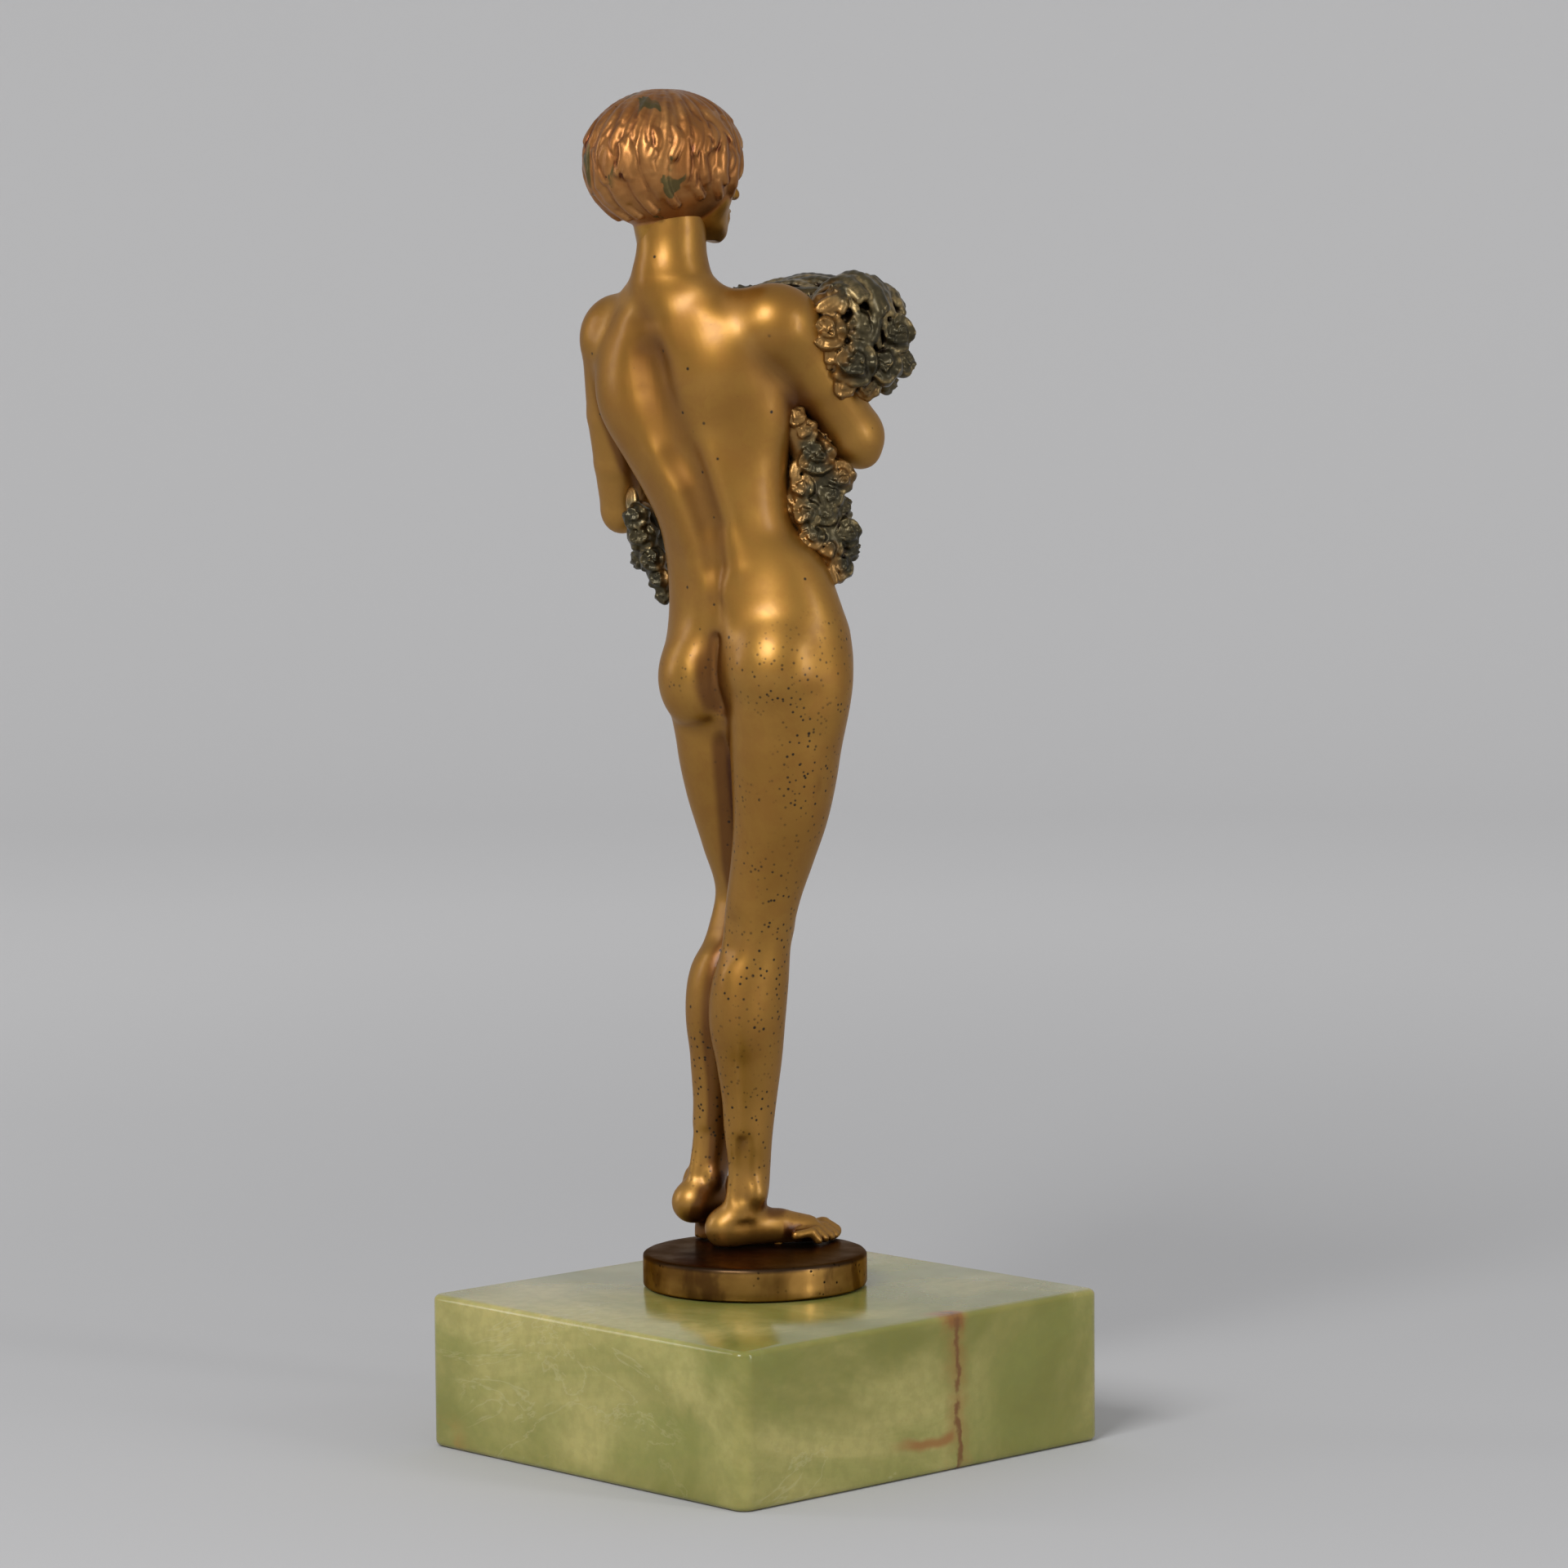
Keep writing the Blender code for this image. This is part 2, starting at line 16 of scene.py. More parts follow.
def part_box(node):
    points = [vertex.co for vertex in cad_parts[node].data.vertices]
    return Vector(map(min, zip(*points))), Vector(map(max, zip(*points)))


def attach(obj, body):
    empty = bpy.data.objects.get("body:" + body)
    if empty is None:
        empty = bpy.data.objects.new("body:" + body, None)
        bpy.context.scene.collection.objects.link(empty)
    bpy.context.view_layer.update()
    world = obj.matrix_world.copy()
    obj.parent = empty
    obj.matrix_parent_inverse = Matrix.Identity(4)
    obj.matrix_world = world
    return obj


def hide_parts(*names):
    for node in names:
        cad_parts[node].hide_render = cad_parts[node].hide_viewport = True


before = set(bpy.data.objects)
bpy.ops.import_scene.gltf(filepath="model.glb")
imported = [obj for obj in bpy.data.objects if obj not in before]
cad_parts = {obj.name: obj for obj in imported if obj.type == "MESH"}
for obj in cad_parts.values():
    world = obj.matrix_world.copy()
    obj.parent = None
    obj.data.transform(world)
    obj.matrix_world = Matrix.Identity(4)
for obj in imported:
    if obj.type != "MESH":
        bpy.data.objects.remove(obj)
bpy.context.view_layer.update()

# Places and sizes from the frame, in metres
DISC_LOW, DISC_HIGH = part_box("base_disc")
PLINTH_LOW, PLINTH_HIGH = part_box("onyx_plinth")
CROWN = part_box("head_casting")[1].z
DISC_RADIUS = (DISC_HIGH.x - DISC_LOW.x) / 2
ORIGIN = np.array([(DISC_LOW.x + DISC_HIGH.x) / 2, (DISC_LOW.y + DISC_HIGH.y) / 2, DISC_HIGH.z])
UNIT = (CROWN - DISC_HIGH.z) / 201.5

# Fineness of the clay, in figure units
COARSE = 1.0
BODY_STEP = 0.53 * COARSE
HEAD_STEP = 0.25 * COARSE
ROSE_STEP = 0.375 * COARSE

# The bronze's two base colours, and the heights between which its fine pits fade out upwards
GOLD = ((0.315, 0.148, 0.020), (0.385, 0.198, 0.034))
WAIST = (0.150, 0.128)

# The onyx: its rounded edges, and where along Y its crack runs, in metres
UPRIGHT_EDGE = 0.0026
RIM_EDGE = 0.0010
CRACK_Y = -0.0064

# The camera: how it is turned, tipped down and rolled, in radians, its place, and its lens
CAMERA_TURN = math.radians(43.29)
CAMERA_DOWN = 0.078
CAMERA_ROLL = -0.008
CAMERA_ASIDE, CAMERA_BACK, CAMERA_HEIGHT = 0.0041, 0.9116, 0.186
CAMERA_LENS = 121.9


# ---- Clay ----

def curve(knots, values, t):
    """A smooth curve through rows of values at the knots."""
    knots = np.asarray(knots, float)
    values = np.asarray(values, float)
    slope = np.gradient(values, knots, axis=0)
    t = np.clip(t, knots[0], knots[-1])
    i = np.clip(np.searchsorted(knots, t) - 1, 0, len(knots) - 2)
    h = (knots[i + 1] - knots[i])[..., None]
    s = (t - knots[i])[..., None] / h
    start = (1 + 2 * s) * (1 - s) ** 2 * values[i] + s * (1 - s) ** 2 * h * slope[i]
    end = s * s * (3 - 2 * s) * values[i + 1] + s * s * (s - 1) * h * slope[i + 1]
    return start + end


def turn_z(degrees):
    """Rotation about the vertical, whose columns are the turned axes."""
    c, s = math.cos(math.radians(degrees)), math.sin(math.radians(degrees))
    return np.array([[c, -s, 0], [s, c, 0], [0, 0, 1.0]])


def put(name, data):
    """A new object in the scene, which holds a mesh, a lamp or a camera."""
    obj = bpy.data.objects.new(name, data)
    bpy.context.scene.collection.objects.link(obj)
    return obj


def store(mesh, name, values):
    """Keep one number for each point of a mesh, for its material to read."""
    mesh.attributes.new(name, "FLOAT", "POINT").data.foreach_set("value", values.astype(np.float32))


class Form:
    """A distance function and the box that holds its surface."""

    def __init__(self, low, high, distance):
        self.low = np.asarray(low, float)
        self.high = np.asarray(high, float)
        self.distance = distance


def cone(one, two):
    """A round cone between two balls (x, y, z, radius)."""
    a, b = np.array(one[:3], float), np.array(two[:3], float)
    ra, rb = one[3], two[3]
    ba = b - a
    l2 = ba @ ba
    rr = ra - rb
    a2 = l2 - rr * rr

    def distance(p):
        pa = p - a
        y = pa @ ba
        z = y - l2
        across = pa * l2 - y[..., None] * ba
        x2 = (across * across).sum(-1)
        y2 = y * y * l2
        z2 = z * z * l2
        k = np.sign(rr) * rr * rr * x2
        side = (np.sqrt(x2 * a2 / l2) + y * rr) / l2 - ra
        end = np.sqrt(x2 + z2) / l2 - rb
        start = np.sqrt(x2 + y2) / l2 - ra
        d = np.where(np.sign(y) * a2 * y2 < k, start, side)
        return np.where(np.sign(z) * a2 * z2 > k, end, d)

    r = max(ra, rb)
    return Form(np.minimum(a, b) - r, np.maximum(a, b) + r, distance)


def ball(centre, radii, axes=None):
    """An ellipsoid, whose axes are the columns of a matrix."""
    c = np.array(centre, float)
    r = np.ones(3) * radii

    def distance(p):
        q = p - c
        if axes is not None:
            q = q @ axes
        k0 = np.sqrt(((q / r) ** 2).sum(-1))
        k1 = np.sqrt(((q / r ** 2) ** 2).sum(-1)) + 1e-9
        return k0 * (k0 - 1) / k1

    return Form(c - r.max(), c + r.max(), distance)


def loft(rows):
    """A stack of ovals: height, middle x and y, half width, depth behind and before, turn."""
    table = np.array(rows, float)
    first, last = table[0, 0], table[-1, 0]

    def distance(p):
        z = p[..., 2]
        s = curve(table[:, 0], table[:, 1:], z)
        angle = np.radians(s[..., 5])
        c, n = np.cos(angle), np.sin(angle)
        dx, dy = p[..., 0] - s[..., 0], p[..., 1] - s[..., 1]
        x, y = c * dx + n * dy, c * dy - n * dx
        a, b = s[..., 2], np.where(y > 0, s[..., 3], s[..., 4])
        e = np.sqrt((x / a) ** 2 + (y / b) ** 2)
        slope = np.sqrt((x / a ** 2) ** 2 + (y / b ** 2) ** 2) + 1e-9
        side = e * (e - 1) / slope
        past = np.maximum(first - z, z - last)
        outside = np.sqrt(np.maximum(side, 0) ** 2 + np.maximum(past, 0) ** 2)
        return np.where(past > 0, outside, np.maximum(side, past))

    reach = table[:, 3:6].max()
    low = [table[:, 1].min() - reach, table[:, 2].min() - reach, first]
    high = [table[:, 1].max() + reach, table[:, 2].max() + reach, last]
    return Form(low, high, distance)


def soft_min(a, b, blend):
    """The smaller of two distances, rounded where they are closer than blend."""
    if blend <= 0:
        return np.minimum(a, b)
    h = np.maximum(blend - np.abs(a - b), 0) / blend
    return np.minimum(a, b) - h * h * h * blend / 6


def distance_to_path(p, path):
    """Distance from points to a polyline."""
    best = np.full(p.shape[:-1], 1e9)
    for a, b in zip(path[:-1], path[1:]):
        a, b = np.array(a, float), np.array(b, float)
        ab = b - a
        t = np.clip(((p - a) @ ab) / (ab @ ab), 0, 1)
        best = np.minimum(best, np.linalg.norm(p - a - t[..., None] * ab, axis=-1))
    return best


class Clay:
    """A block of clay: a grid of distances to its surface."""

    FAR = 20.0

    def __init__(self, low, high, step):
        self.low = np.array(low, float)
        self.step = step
        size = np.ceil((np.array(high, float) - self.low) / step).astype(int) + 1
        self.field = np.full(size, self.FAR, np.float32)

    def window(self, low, high, margin):
        """The part of the grid round a box, and its points."""
        size = np.array(self.field.shape)
        first = np.floor((np.asarray(low) - margin - self.low) / self.step).astype(int)
        last = np.ceil((np.asarray(high) + margin - self.low) / self.step).astype(int) + 1
        first, last = np.clip(first, 0, size), np.clip(last, 0, size)
        part = tuple(slice(a, b) for a, b in zip(first, last))
        axes = [self.low[k] + self.step * np.arange(first[k], last[k]) for k in range(3)]
        return part, np.stack(np.meshgrid(*axes, indexing="ij"), -1)

    def blank(self):
        """More clay on the same grid, with nothing in it yet."""
        other = Clay(self.low, self.low, self.step)
        other.field = np.full_like(self.field, self.FAR)
        return other

    def merge(self, other, blend):
        self.field = soft_min(self.field, other.field, blend)

    def add(self, form, blend=0.0, sign=1):
        """Add a form, blended over a width, or cut it away where the sign is -1."""
        part, points = self.window(form.low, form.high, blend + 3 * self.step)
        if points.size:
            self.field[part] = sign * soft_min(sign * self.field[part], form.distance(points), blend)

    def cut(self, form, blend=0.0):
        self.add(form, blend, -1)

    def cut_below(self, height):
        """Cut the clay off flat at a height."""
        far = self.low + self.step * np.array(self.field.shape)
        self.cut(Form(self.low, (far[0], far[1], height), lambda p: p[..., 2] - height))

    def add_limb(self, chain, blend):
        """Add a limb through balls (x, y, z, radius), without swelling where they meet."""
        cones = [cone(one, two) for one, two in zip(chain[:-1], chain[1:])]

        def distance(p):
            whole = cones[0].distance(p)
            for part in cones[1:]:
                whole = soft_min(whole, part.distance(p), 0.8)
            return whole

        low = np.min([part.low for part in cones], axis=0)
        high = np.max([part.high for part in cones], axis=0)
        self.add(Form(low, high, distance), blend)

    def add_chain(self, chain, blend=0.0):
        """Add tapered limbs through balls (x, y, z, radius)."""
        for one, two in zip(chain[:-1], chain[1:]):
            self.add(cone(one, two), blend)

    def press(self, path, width, depth):
        """Press a groove along a path, or raise a ridge where the depth is negative."""
        spots = np.array(path, float)
        part, points = self.window(spots.min(0), spots.max(0), 2.6 * width)
        if points.size:
            away = distance_to_path(points, path)
            self.field[part] += depth * np.exp(-(away / width) ** 2)

    def at(self, points):
        """The field between grid points, by linear interpolation."""
        g = (points - self.low) / self.step
        i = np.clip(np.floor(g).astype(int), 0, np.array(self.field.shape) - 2)
        f = g - i
        total = np.zeros(len(points))
        for corner in np.ndindex(2, 2, 2):
            weight = np.prod(np.where(np.array(corner), f, 1 - f), axis=1)
            total += weight * self.field[tuple((i + corner).T)]
        return total

    def surface(self):
        """Points and quads of the surface: a point for each cell that it crosses."""
        inside = self.field < 0
        size = np.array(self.field.shape) - 1
        corners = [np.array(c) for c in np.ndindex(2, 2, 2)]
        count = sum(inside[tuple(slice(a, a + n) for a, n in zip(c, size))].astype(np.int8)
                    for c in corners)
        cells = np.argwhere((count > 0) & (count < 8))
        index = np.full(size, -1, np.int64)
        index[tuple(cells.T)] = np.arange(len(cells))
        total = np.zeros((len(cells), 3))
        hits = np.zeros(len(cells))
        for a in corners:
            for axis in range(3):
                if a[axis]:
                    continue
                along = np.eye(3, dtype=int)[axis]
                fa = self.field[tuple((cells + a).T)].astype(float)
                fb = self.field[tuple((cells + a + along).T)].astype(float)
                cross = (fa < 0) != (fb < 0)
                t = np.where(cross, fa / np.where(cross, fa - fb, 1), 0)
                total += (a + t[:, None] * along) * cross[:, None]
                hits += cross
        points = self.low + self.step * (cells + total / hits[:, None])
        return points, self.quads(inside, index)

    @staticmethod
    def quads(inside, index):
        """A quad round each grid edge that the surface crosses."""
        faces = []
        for axis in range(3):
            du, dv = np.eye(3, dtype=int)[(axis + 1) % 3], np.eye(3, dtype=int)[(axis + 2) % 3]
            near = tuple(slice(0, -1) if k == axis else slice(1, -1) for k in range(3))
            far = tuple(slice(1, None) if k == axis else slice(1, -1) for k in range(3))
            crossed = np.argwhere(inside[near] != inside[far])
            outward = inside[far][tuple(crossed.T)]
            base = crossed + 1
            base[:, axis] -= 1
            ring = [base - du - dv, base - dv, base, base - du]
            quad = np.stack([index[tuple(spot.T)] for spot in ring], 1)
            quad[outward] = quad[outward][:, ::-1]
            faces.append(quad)
        return np.concatenate(faces)

    def enclosure(self, points, reach):
        """How enclosed and how exposed each point is, both from 0 to 1."""
        gradient = np.stack([self.at(points + d) - self.at(points - d)
                             for d in np.eye(3) * self.step], 1)
        normal = gradient / (np.linalg.norm(gradient, axis=1, keepdims=True) + 1e-9)
        hollow = 1 - self.at(points + normal * reach) / reach
        ridge = 1 + self.at(points - normal * reach) / reach
        return np.clip(hollow, 0, 1), np.clip(ridge, 0, 1)

    def make(self, name, material, reach=1.2, turn=np.eye(3), centre=(0, 0, 0)):
        """Mesh the clay as an object in the row frame, with its hollows and ridges stored."""
        points, quads = self.surface()
        placed = ORIGIN + (points @ turn.T + centre) * UNIT
        mesh = bpy.data.meshes.new(name)
        mesh.vertices.add(len(points))
        mesh.vertices.foreach_set("co", placed.ravel())
        mesh.loops.add(quads.size)
        mesh.loops.foreach_set("vertex_index", quads.ravel())
        mesh.polygons.add(len(quads))
        mesh.polygons.foreach_set("loop_start", np.arange(0, quads.size, 4))
        mesh.update(calc_edges=True)
        mesh.shade_smooth()
        marks = dict(zip(("hollow", "ridge"), self.enclosure(points, reach)))
        # broad hollows and crests too: the skin's bronze darkens the first as painted shade, and lightens
        # the second as painted highlight with rubbed wear
        marks.update(zip(("valley", "crest"), self.enclosure(points, 5 * reach)))
        for key, values in marks.items():
            store(mesh, key, values)
        mesh.materials.append(material)
        print("clay", name, len(quads), "quads")
        return put(name, mesh)

    def mark_nearness(self, obj, name, reach, turn=np.eye(3), centre=(0, 0, 0)):
        """Store how near another object's points are to this clay: 1 touching, 0 out of reach."""
        co = np.empty(len(obj.data.vertices) * 3)
        obj.data.vertices.foreach_get("co", co)
        points = ((co.reshape(-1, 3) - ORIGIN) / UNIT - centre) @ turn
        store(obj.data, name, np.clip(1 - self.at(points) / reach, 0, 1))


# ---- The figure ----

TORSO = (
    (76, 0.4, -2.4, 5, 1, 2, 8),
    (82, -0.2, -2, 10, 2, 5.8, 8),
    (88, -0.6, -1.5, 15.2, 5.2, 9.4, 8),
    (94, -0.8, -1.1, 17.5, 8.8, 11, 9),
    (100, -1.2, -1.1, 18.3, 10.7, 11.5, 10),
    (106, -1.1, -1, 17.8, 11.3, 11.5, 11),
    (114.6, -0.6, -0.3, 16, 10.8, 11.2, 13),
    (121.4, 0.9, 0.6, 14.3, 10.2, 10.4, 17),
    (126, 2.4, 2.4, 12.4, 9.8, 9.9, 20),
    (133, 3.8, 4.2, 13.1, 10, 10.4, 24),
    (137.6, 4.6, 5.3, 14.5, 10, 10.8, 25),
    (147, 5.6, 7.3, 17.6, 9.6, 10.8, 23),
    (154, 6, 8.5, 17.2, 8.6, 9.6, 19),
    (160, 6.3, 9.4, 14, 7.6, 8, 17),
    (164, 6.6, 10.4, 10, 6.2, 6.4, 15),
    (167, 6.9, 11, 5, 4.4, 4.4, 15),
)
RIGHT_LEG = (
    (5, 5.4, -1.6, 3.4, 4, 4.6, 0),
    (10, 4.9, -2.6, 3.5, 4.1, 4.4, 0),
    (14, 4.7, -2.9, 3.5, 4.1, 4.3, 0),
    (18.5, 4.3, -2.7, 3.8, 4.6, 4.4, 0),
    (26, 3.7, -2.6, 4.3, 5.4, 5, 0),
    (33, 3, -2.1, 5.2, 6.6, 5.8, 0),
    (40, 2.3, -1.3, 5.9, 7.2, 6.6, 0),
    (47, 1.5, -1.2, 6, 7, 6.8, 0),
    (54, 0.4, -1.3, 5.8, 6.1, 6.4, 0),
    (61, -1, -1.6, 6.3, 6.5, 6.6, 0),
    (68, -3, -2, 7, 7.3, 7.4, 0),
    (75, -5, -2.1, 7.9, 8.3, 8.4, 0),
    (82, -6.3, -2, 8.7, 9.4, 9.2, 0),
    (90, -7.5, -1.6, 9.3, 10.4, 9.8, 0),
    (97, -8.4, -1.2, 9.4, 10.6, 9.8, 0),
    (104, -8.4, -1, 6, 6.4, 6.4, 0),
)
LEFT_LEG = (
    (7, 15.2, -1.6, 3.1, 3.8, 4.6, 0),
    (12, 14.9, -2.4, 3.2, 3.9, 4.2, 0),
    (17, 14.5, -3.3, 3.4, 4, 4, 0),
    (24, 13.7, -4.1, 4, 4.7, 4.6, 0),
    (32, 12.8, -4.3, 4.9, 6, 5.4, 0),
    (40, 11.8, -4, 5.6, 7, 6.3, 0),
    (48, 10.8, -4.5, 5.8, 6.9, 6.8, 0),
    (56, 9.8, -6.7, 5.7, 6, 6.6, 0),
    (62, 9.2, -8.1, 6, 6.2, 6.4, 0),
    (70, 8.8, -5.9, 6.7, 7, 7, 0),
    (80, 8.2, -3.2, 7.7, 8.5, 8.2, 0),
    (88, 7.5, -1.6, 8.3, 9.4, 9, 0),
    (96, 7, -1.3, 8.6, 10, 9.4, 0),
    (103, 6.4, -1.2, 5.6, 6, 6.2, 0),
)
NECK = ((6.9, 11.2, 160, 6.6), (6.8, 11.1, 171, 6.0), (7.1, 11.0, 178, 5.9), (7.6, 11.2, 184, 6.0))
TRAPEZIUS = (((7.6, 12.2, 169.5, 4.0), (14.0, 11.2, 165.2, 3.6)),
             ((6.4, 11.8, 169.0, 4.0), (0.5, 9.4, 165.0, 3.4)))
LEFT_SHOULDER_LINE = ((7, 12, 169, 3.0), (14.5, 11.2, 165.2, 3.0), (21, 10.6, 162.8, 3.0))
RIGHT_SHOULDER_LINE = ((7, 11.6, 168.6, 3.0), (-1, 8.3, 164.2, 3.0), (-9, 4, 163.8, 3.0))
LEFT_SHOULDER = ((22.3, 10.3, 159.8), (6.4, 6.2, 6.4))
RIGHT_SHOULDER = ((-9.6, 2.0, 161.0), (6.4, 7.0, 6.2))
LEFT_ARM = ((22.9, 10.3, 157.5, 5.6), (27, 7, 146, 4.7), (28.7, 4.5, 137.5, 4.3),
            (30.7, 1.5, 129.3, 4.1), (28.2, -4, 130, 4.1), (24, -10, 131.5, 3.8),
            (16.5, -18.6, 134.0, 2.8), (14, -21.2, 134.8, 2.6))
RIGHT_UPPER_ARM = ((-10.0, 1.5, 160.5, 6.0), (-11.0, -6.5, 152, 5.6), (-11.0, -13.5, 143.5, 5.0))
RIGHT_FOREARM = ((-11, -15, 141.7, 5.2), (-6.5, -18.5, 143, 4.6), (1, -21, 146, 4.0),
                 (13, -23.6, 150.5, 2.8), (17, -23.6, 152, 2.6))
LEFT_BUTTOCK = ((5.4, 5.2, 100.3), (8.5, 8.3, 9.6))
RIGHT_BUTTOCK = ((-9.7, 2.7, 102.3), (8.7, 8.5, 9.8))
FURROW = ((7.2, 17.6, 161), (6.3, 17.6, 156), (5.2, 17.5, 150.7), (3.2, 16.7, 144.6),
          (1.0, 15.1, 138.7),
          (-0.8, 13.6, 134), (-2.0, 11.7, 127.1), (-2.3, 10.7, 120), (-2.1, 10.5, 114))
CLEFT = ((-2.0, 10.8, 111.4), (-1.6, 11.0, 107.4), (-1.3, 11.2, 103), (-1.3, 11.0, 99), (-1.4, 9.6, 95.4))
CALVES = (((0.6, 2.2, 43.5), (3.4, 3.6, 9.0)), ((3.9, 1.7, 42.0), (3.2, 3.4, 8.0)),
          ((10.0, -0.9, 44.5), (3.2, 3.4, 8.6)), ((13.2, -1.0, 43.0), (3.0, 3.2, 8.0)))
KNEES = ((0.4, -6.0, 57.0), (9.6, -12.6, 60.0))
ANKLES = ((2.0, -2.4, 9.6), (7.9, -2.8, 10.4), (12.2, -1.8, 11.4), (17.8, -1.6, 10.6))
RIGHT_SOLE = ((7.0, 0.5, 3.4, 3.5), (5.2, -3.7, 3.6, 3.4), (2.9, -8.7, 3.0, 3.0), (0.8, -13.3, 2.1, 2.6))
RIGHT_FOOT_TURN = (5.2, -1.5, -24.0)
LEFT_SOLE = ((15.5, 0.2, 7, 3.5), (15.2, -4, 6.5, 3.5), (14.2, -8.5, 4.4, 3.0),
             (13.3, -12.4, 2.6, 2.4))


def sculpt_torso(clay):
    clay.add(loft(TORSO))
    for buttock in (LEFT_BUTTOCK, RIGHT_BUTTOCK):
        clay.add(ball(*buttock, axes=turn_z(10)), 4.5)
    for limb in (*TRAPEZIUS, NECK, LEFT_SHOULDER_LINE, RIGHT_SHOULDER_LINE):
        clay.add_limb(limb, 5.0)
    clay.add(ball(*LEFT_SHOULDER), 5.0)
    clay.add(ball(*RIGHT_SHOULDER), 5.0)
    clay.add_limb(RIGHT_UPPER_ARM, 6.0)
    # shoulder blades
    clay.add(ball((-3.4, 9.9, 155.0), (6.5, 4.6, 8.6), turn_z(30)), 7.0)
    clay.add(ball((13.4, 11.2, 152.6), (6.5, 4.4, 9.0), turn_z(8)), 7.0)


def model_back(clay):
    """The furrow of the spine, the long muscles beside it, the loins and the cleft."""
    furrow = np.array(FURROW)
    for part, width, depth in ((slice(0, 5), 3.8, 1.6), (slice(1, 7), 2.6, 1.5), (slice(4, 8), 2.4, 1.3),
                               (slice(4, 9), 1.5, 1.0), (slice(6, 9), 1.2, 0.5)):
        clay.press(furrow[part], width, depth)
    clay.press(furrow[4:8] + (4.6, 1.6, 0), 2.8, -0.6)
    clay.press(furrow[4:8] + (-5.0, -1.4, 0), 3.2, -0.7)
    clay.press(CLEFT, 2.4, 1.2)
    clay.press(CLEFT[1:], 1.2, 1.1)
    clay.press(np.array(CLEFT[1:]) - (0, 1.6, 0), 0.8, 1.5)
    # folds under the buttocks
    clay.press(((-3.4, 9.0, 94.4), (-8.0, 9.8, 92.6), (-12.5, 6.4, 93.2)), 1.7, 0.5)
    clay.press(((0.4, 8.6, 92.4), (4.6, 9.2, 90.8), (9.6, 6.6, 91.4)), 1.6, 0.9)


def model_front(clay):
    """The line down the belly, the navel, the hip bones and the folds of the groin."""
    clay.press(((6.9, -6.4, 130), (3.9, -9.9, 121.4), (1.9, -11.8, 114.6)), 2.4, 0.55)
    clay.press(((1.7, -12.0, 111.8), (1.7, -12.2, 110.8)), 1.0, 1.2)
    clay.press(((1.4, -12.0, 105), (1.0, -11.6, 99)), 5.0, -0.8)
    clay.press(((1.0, -11.4, 87.5), (-6.5, -11.0, 93.0), (-14.0, -7.4, 100.5)), 1.8, 0.7)
    clay.press(((1.0, -11.4, 87.5), (8.0, -9.8, 92.5), (14.6, -5.4, 100.0)), 1.8, 0.7)
    for x, y in ((-13.0, -8.8), (15.0, -4.6)):
        clay.press(((x, y, 108), (x, y, 105)), 2.8, -0.7)


def sculpt_legs(clay):
    legs = clay.blank()
    legs.add(loft(RIGHT_LEG))
    legs.add(loft(LEFT_LEG), 0.9)
    for centre, radii in CALVES:
        legs.add(ball(centre, radii), 3.0)
    for centre in KNEES:
        legs.add(ball(centre, (3.4, 2.4, 3.6)), 2.4)
    for centre in ANKLES:
        legs.add(ball(centre, (1.4, 1.8, 2.0)), 2.4)
    # hollows behind the knees, beside the tendons, and beside the heel cords
    legs.press(((0.2, 5.2, 57.5), (0.6, 5.0, 53.0)), 2.2, 0.7)
    legs.press(((9.4, -0.8, 60.5), (10.2, 1.2, 55.0)), 2.4, 0.9)
    for x in (2.6, 7.2):
        legs.press(((x, 0.4, 19), (x + 0.3, 0.6, 9)), 1.3, 0.7)
    for x in (12.6, 17.0):
        legs.press(((x, 0.2, 19), (x + 0.3, 0.8, 12)), 1.2, 0.6)
    clay.merge(legs, 2.2)


def sculpt_foot(clay, sole, toes, heel):
    clay.add_limb(sole, 2.0)
    clay.add(ball(*heel), 2.0)
    for toe in toes:
        clay.add_chain(toe, 0.5)


def toe_row(start, step, lean, lengths, radii, root_z, tip_z):
    """Five toes side by side, from the big one out."""
    toes = []
    x, y = start
    for i, (length, radius) in enumerate(zip(lengths, radii)):
        tip = (x + lean * length, y - length, tip_z + radius * 0.9, radius)
        knuckle = (x + lean * 0.5 * length, y - 0.55 * length, root_z + radius * 0.5, radius * 0.94)
        toes.append(((x, y + 1.5, root_z, radius), knuckle, tip))
        x += step * (radius + 0.55)
        y += 0.62 + 0.16 * i
    return toes


def turned(chain, x, y, degrees):
    """A chain of balls turned about an upright axis."""
    turn = turn_z(degrees)[:2, :2]
    return [(*(turn @ (spot[0] - x, spot[1] - y) + (x, y)), *spot[2:]) for spot in chain]


def sculpt_feet(clay):
    lengths = (4.6, 4.5, 4.0, 3.4, 2.8)
    radii = (1.35, 1.0, 0.92, 0.86, 0.84)
    right = toe_row((7.6, -15.2), -1, 0.02, lengths, radii, 1.9, 0.0)
    right = [turned(toe, *RIGHT_FOOT_TURN) for toe in right]
    left = toe_row((11.2, -12.6), 1, 0.04, [0.8 * n for n in lengths], radii, 1.9, 0.0)
    sculpt_foot(clay, RIGHT_SOLE, right, ((6.8, 0.0, 3.1), (3.5, 3.6, 3.4)))
    sculpt_foot(clay, LEFT_SOLE, left, ((15.5, 0.6, 6.9), (3.4, 3.4, 3.4)))
    # arches, on the inner sides
    arch = turned(((9.6, -7, 1.0), (9.4, -4, 1.0)), *RIGHT_FOOT_TURN)
    clay.press(arch, 1.6, 1.2)
    clay.press(((11.6, -7, 2.4), (12.0, -4, 3.4)), 1.6, 1.0)
    # the web of bronze that carries the lifted heel
    clay.add(ball((15.4, -2.6, 1.0), (2.6, 1.5, 5.6)), 1.2)


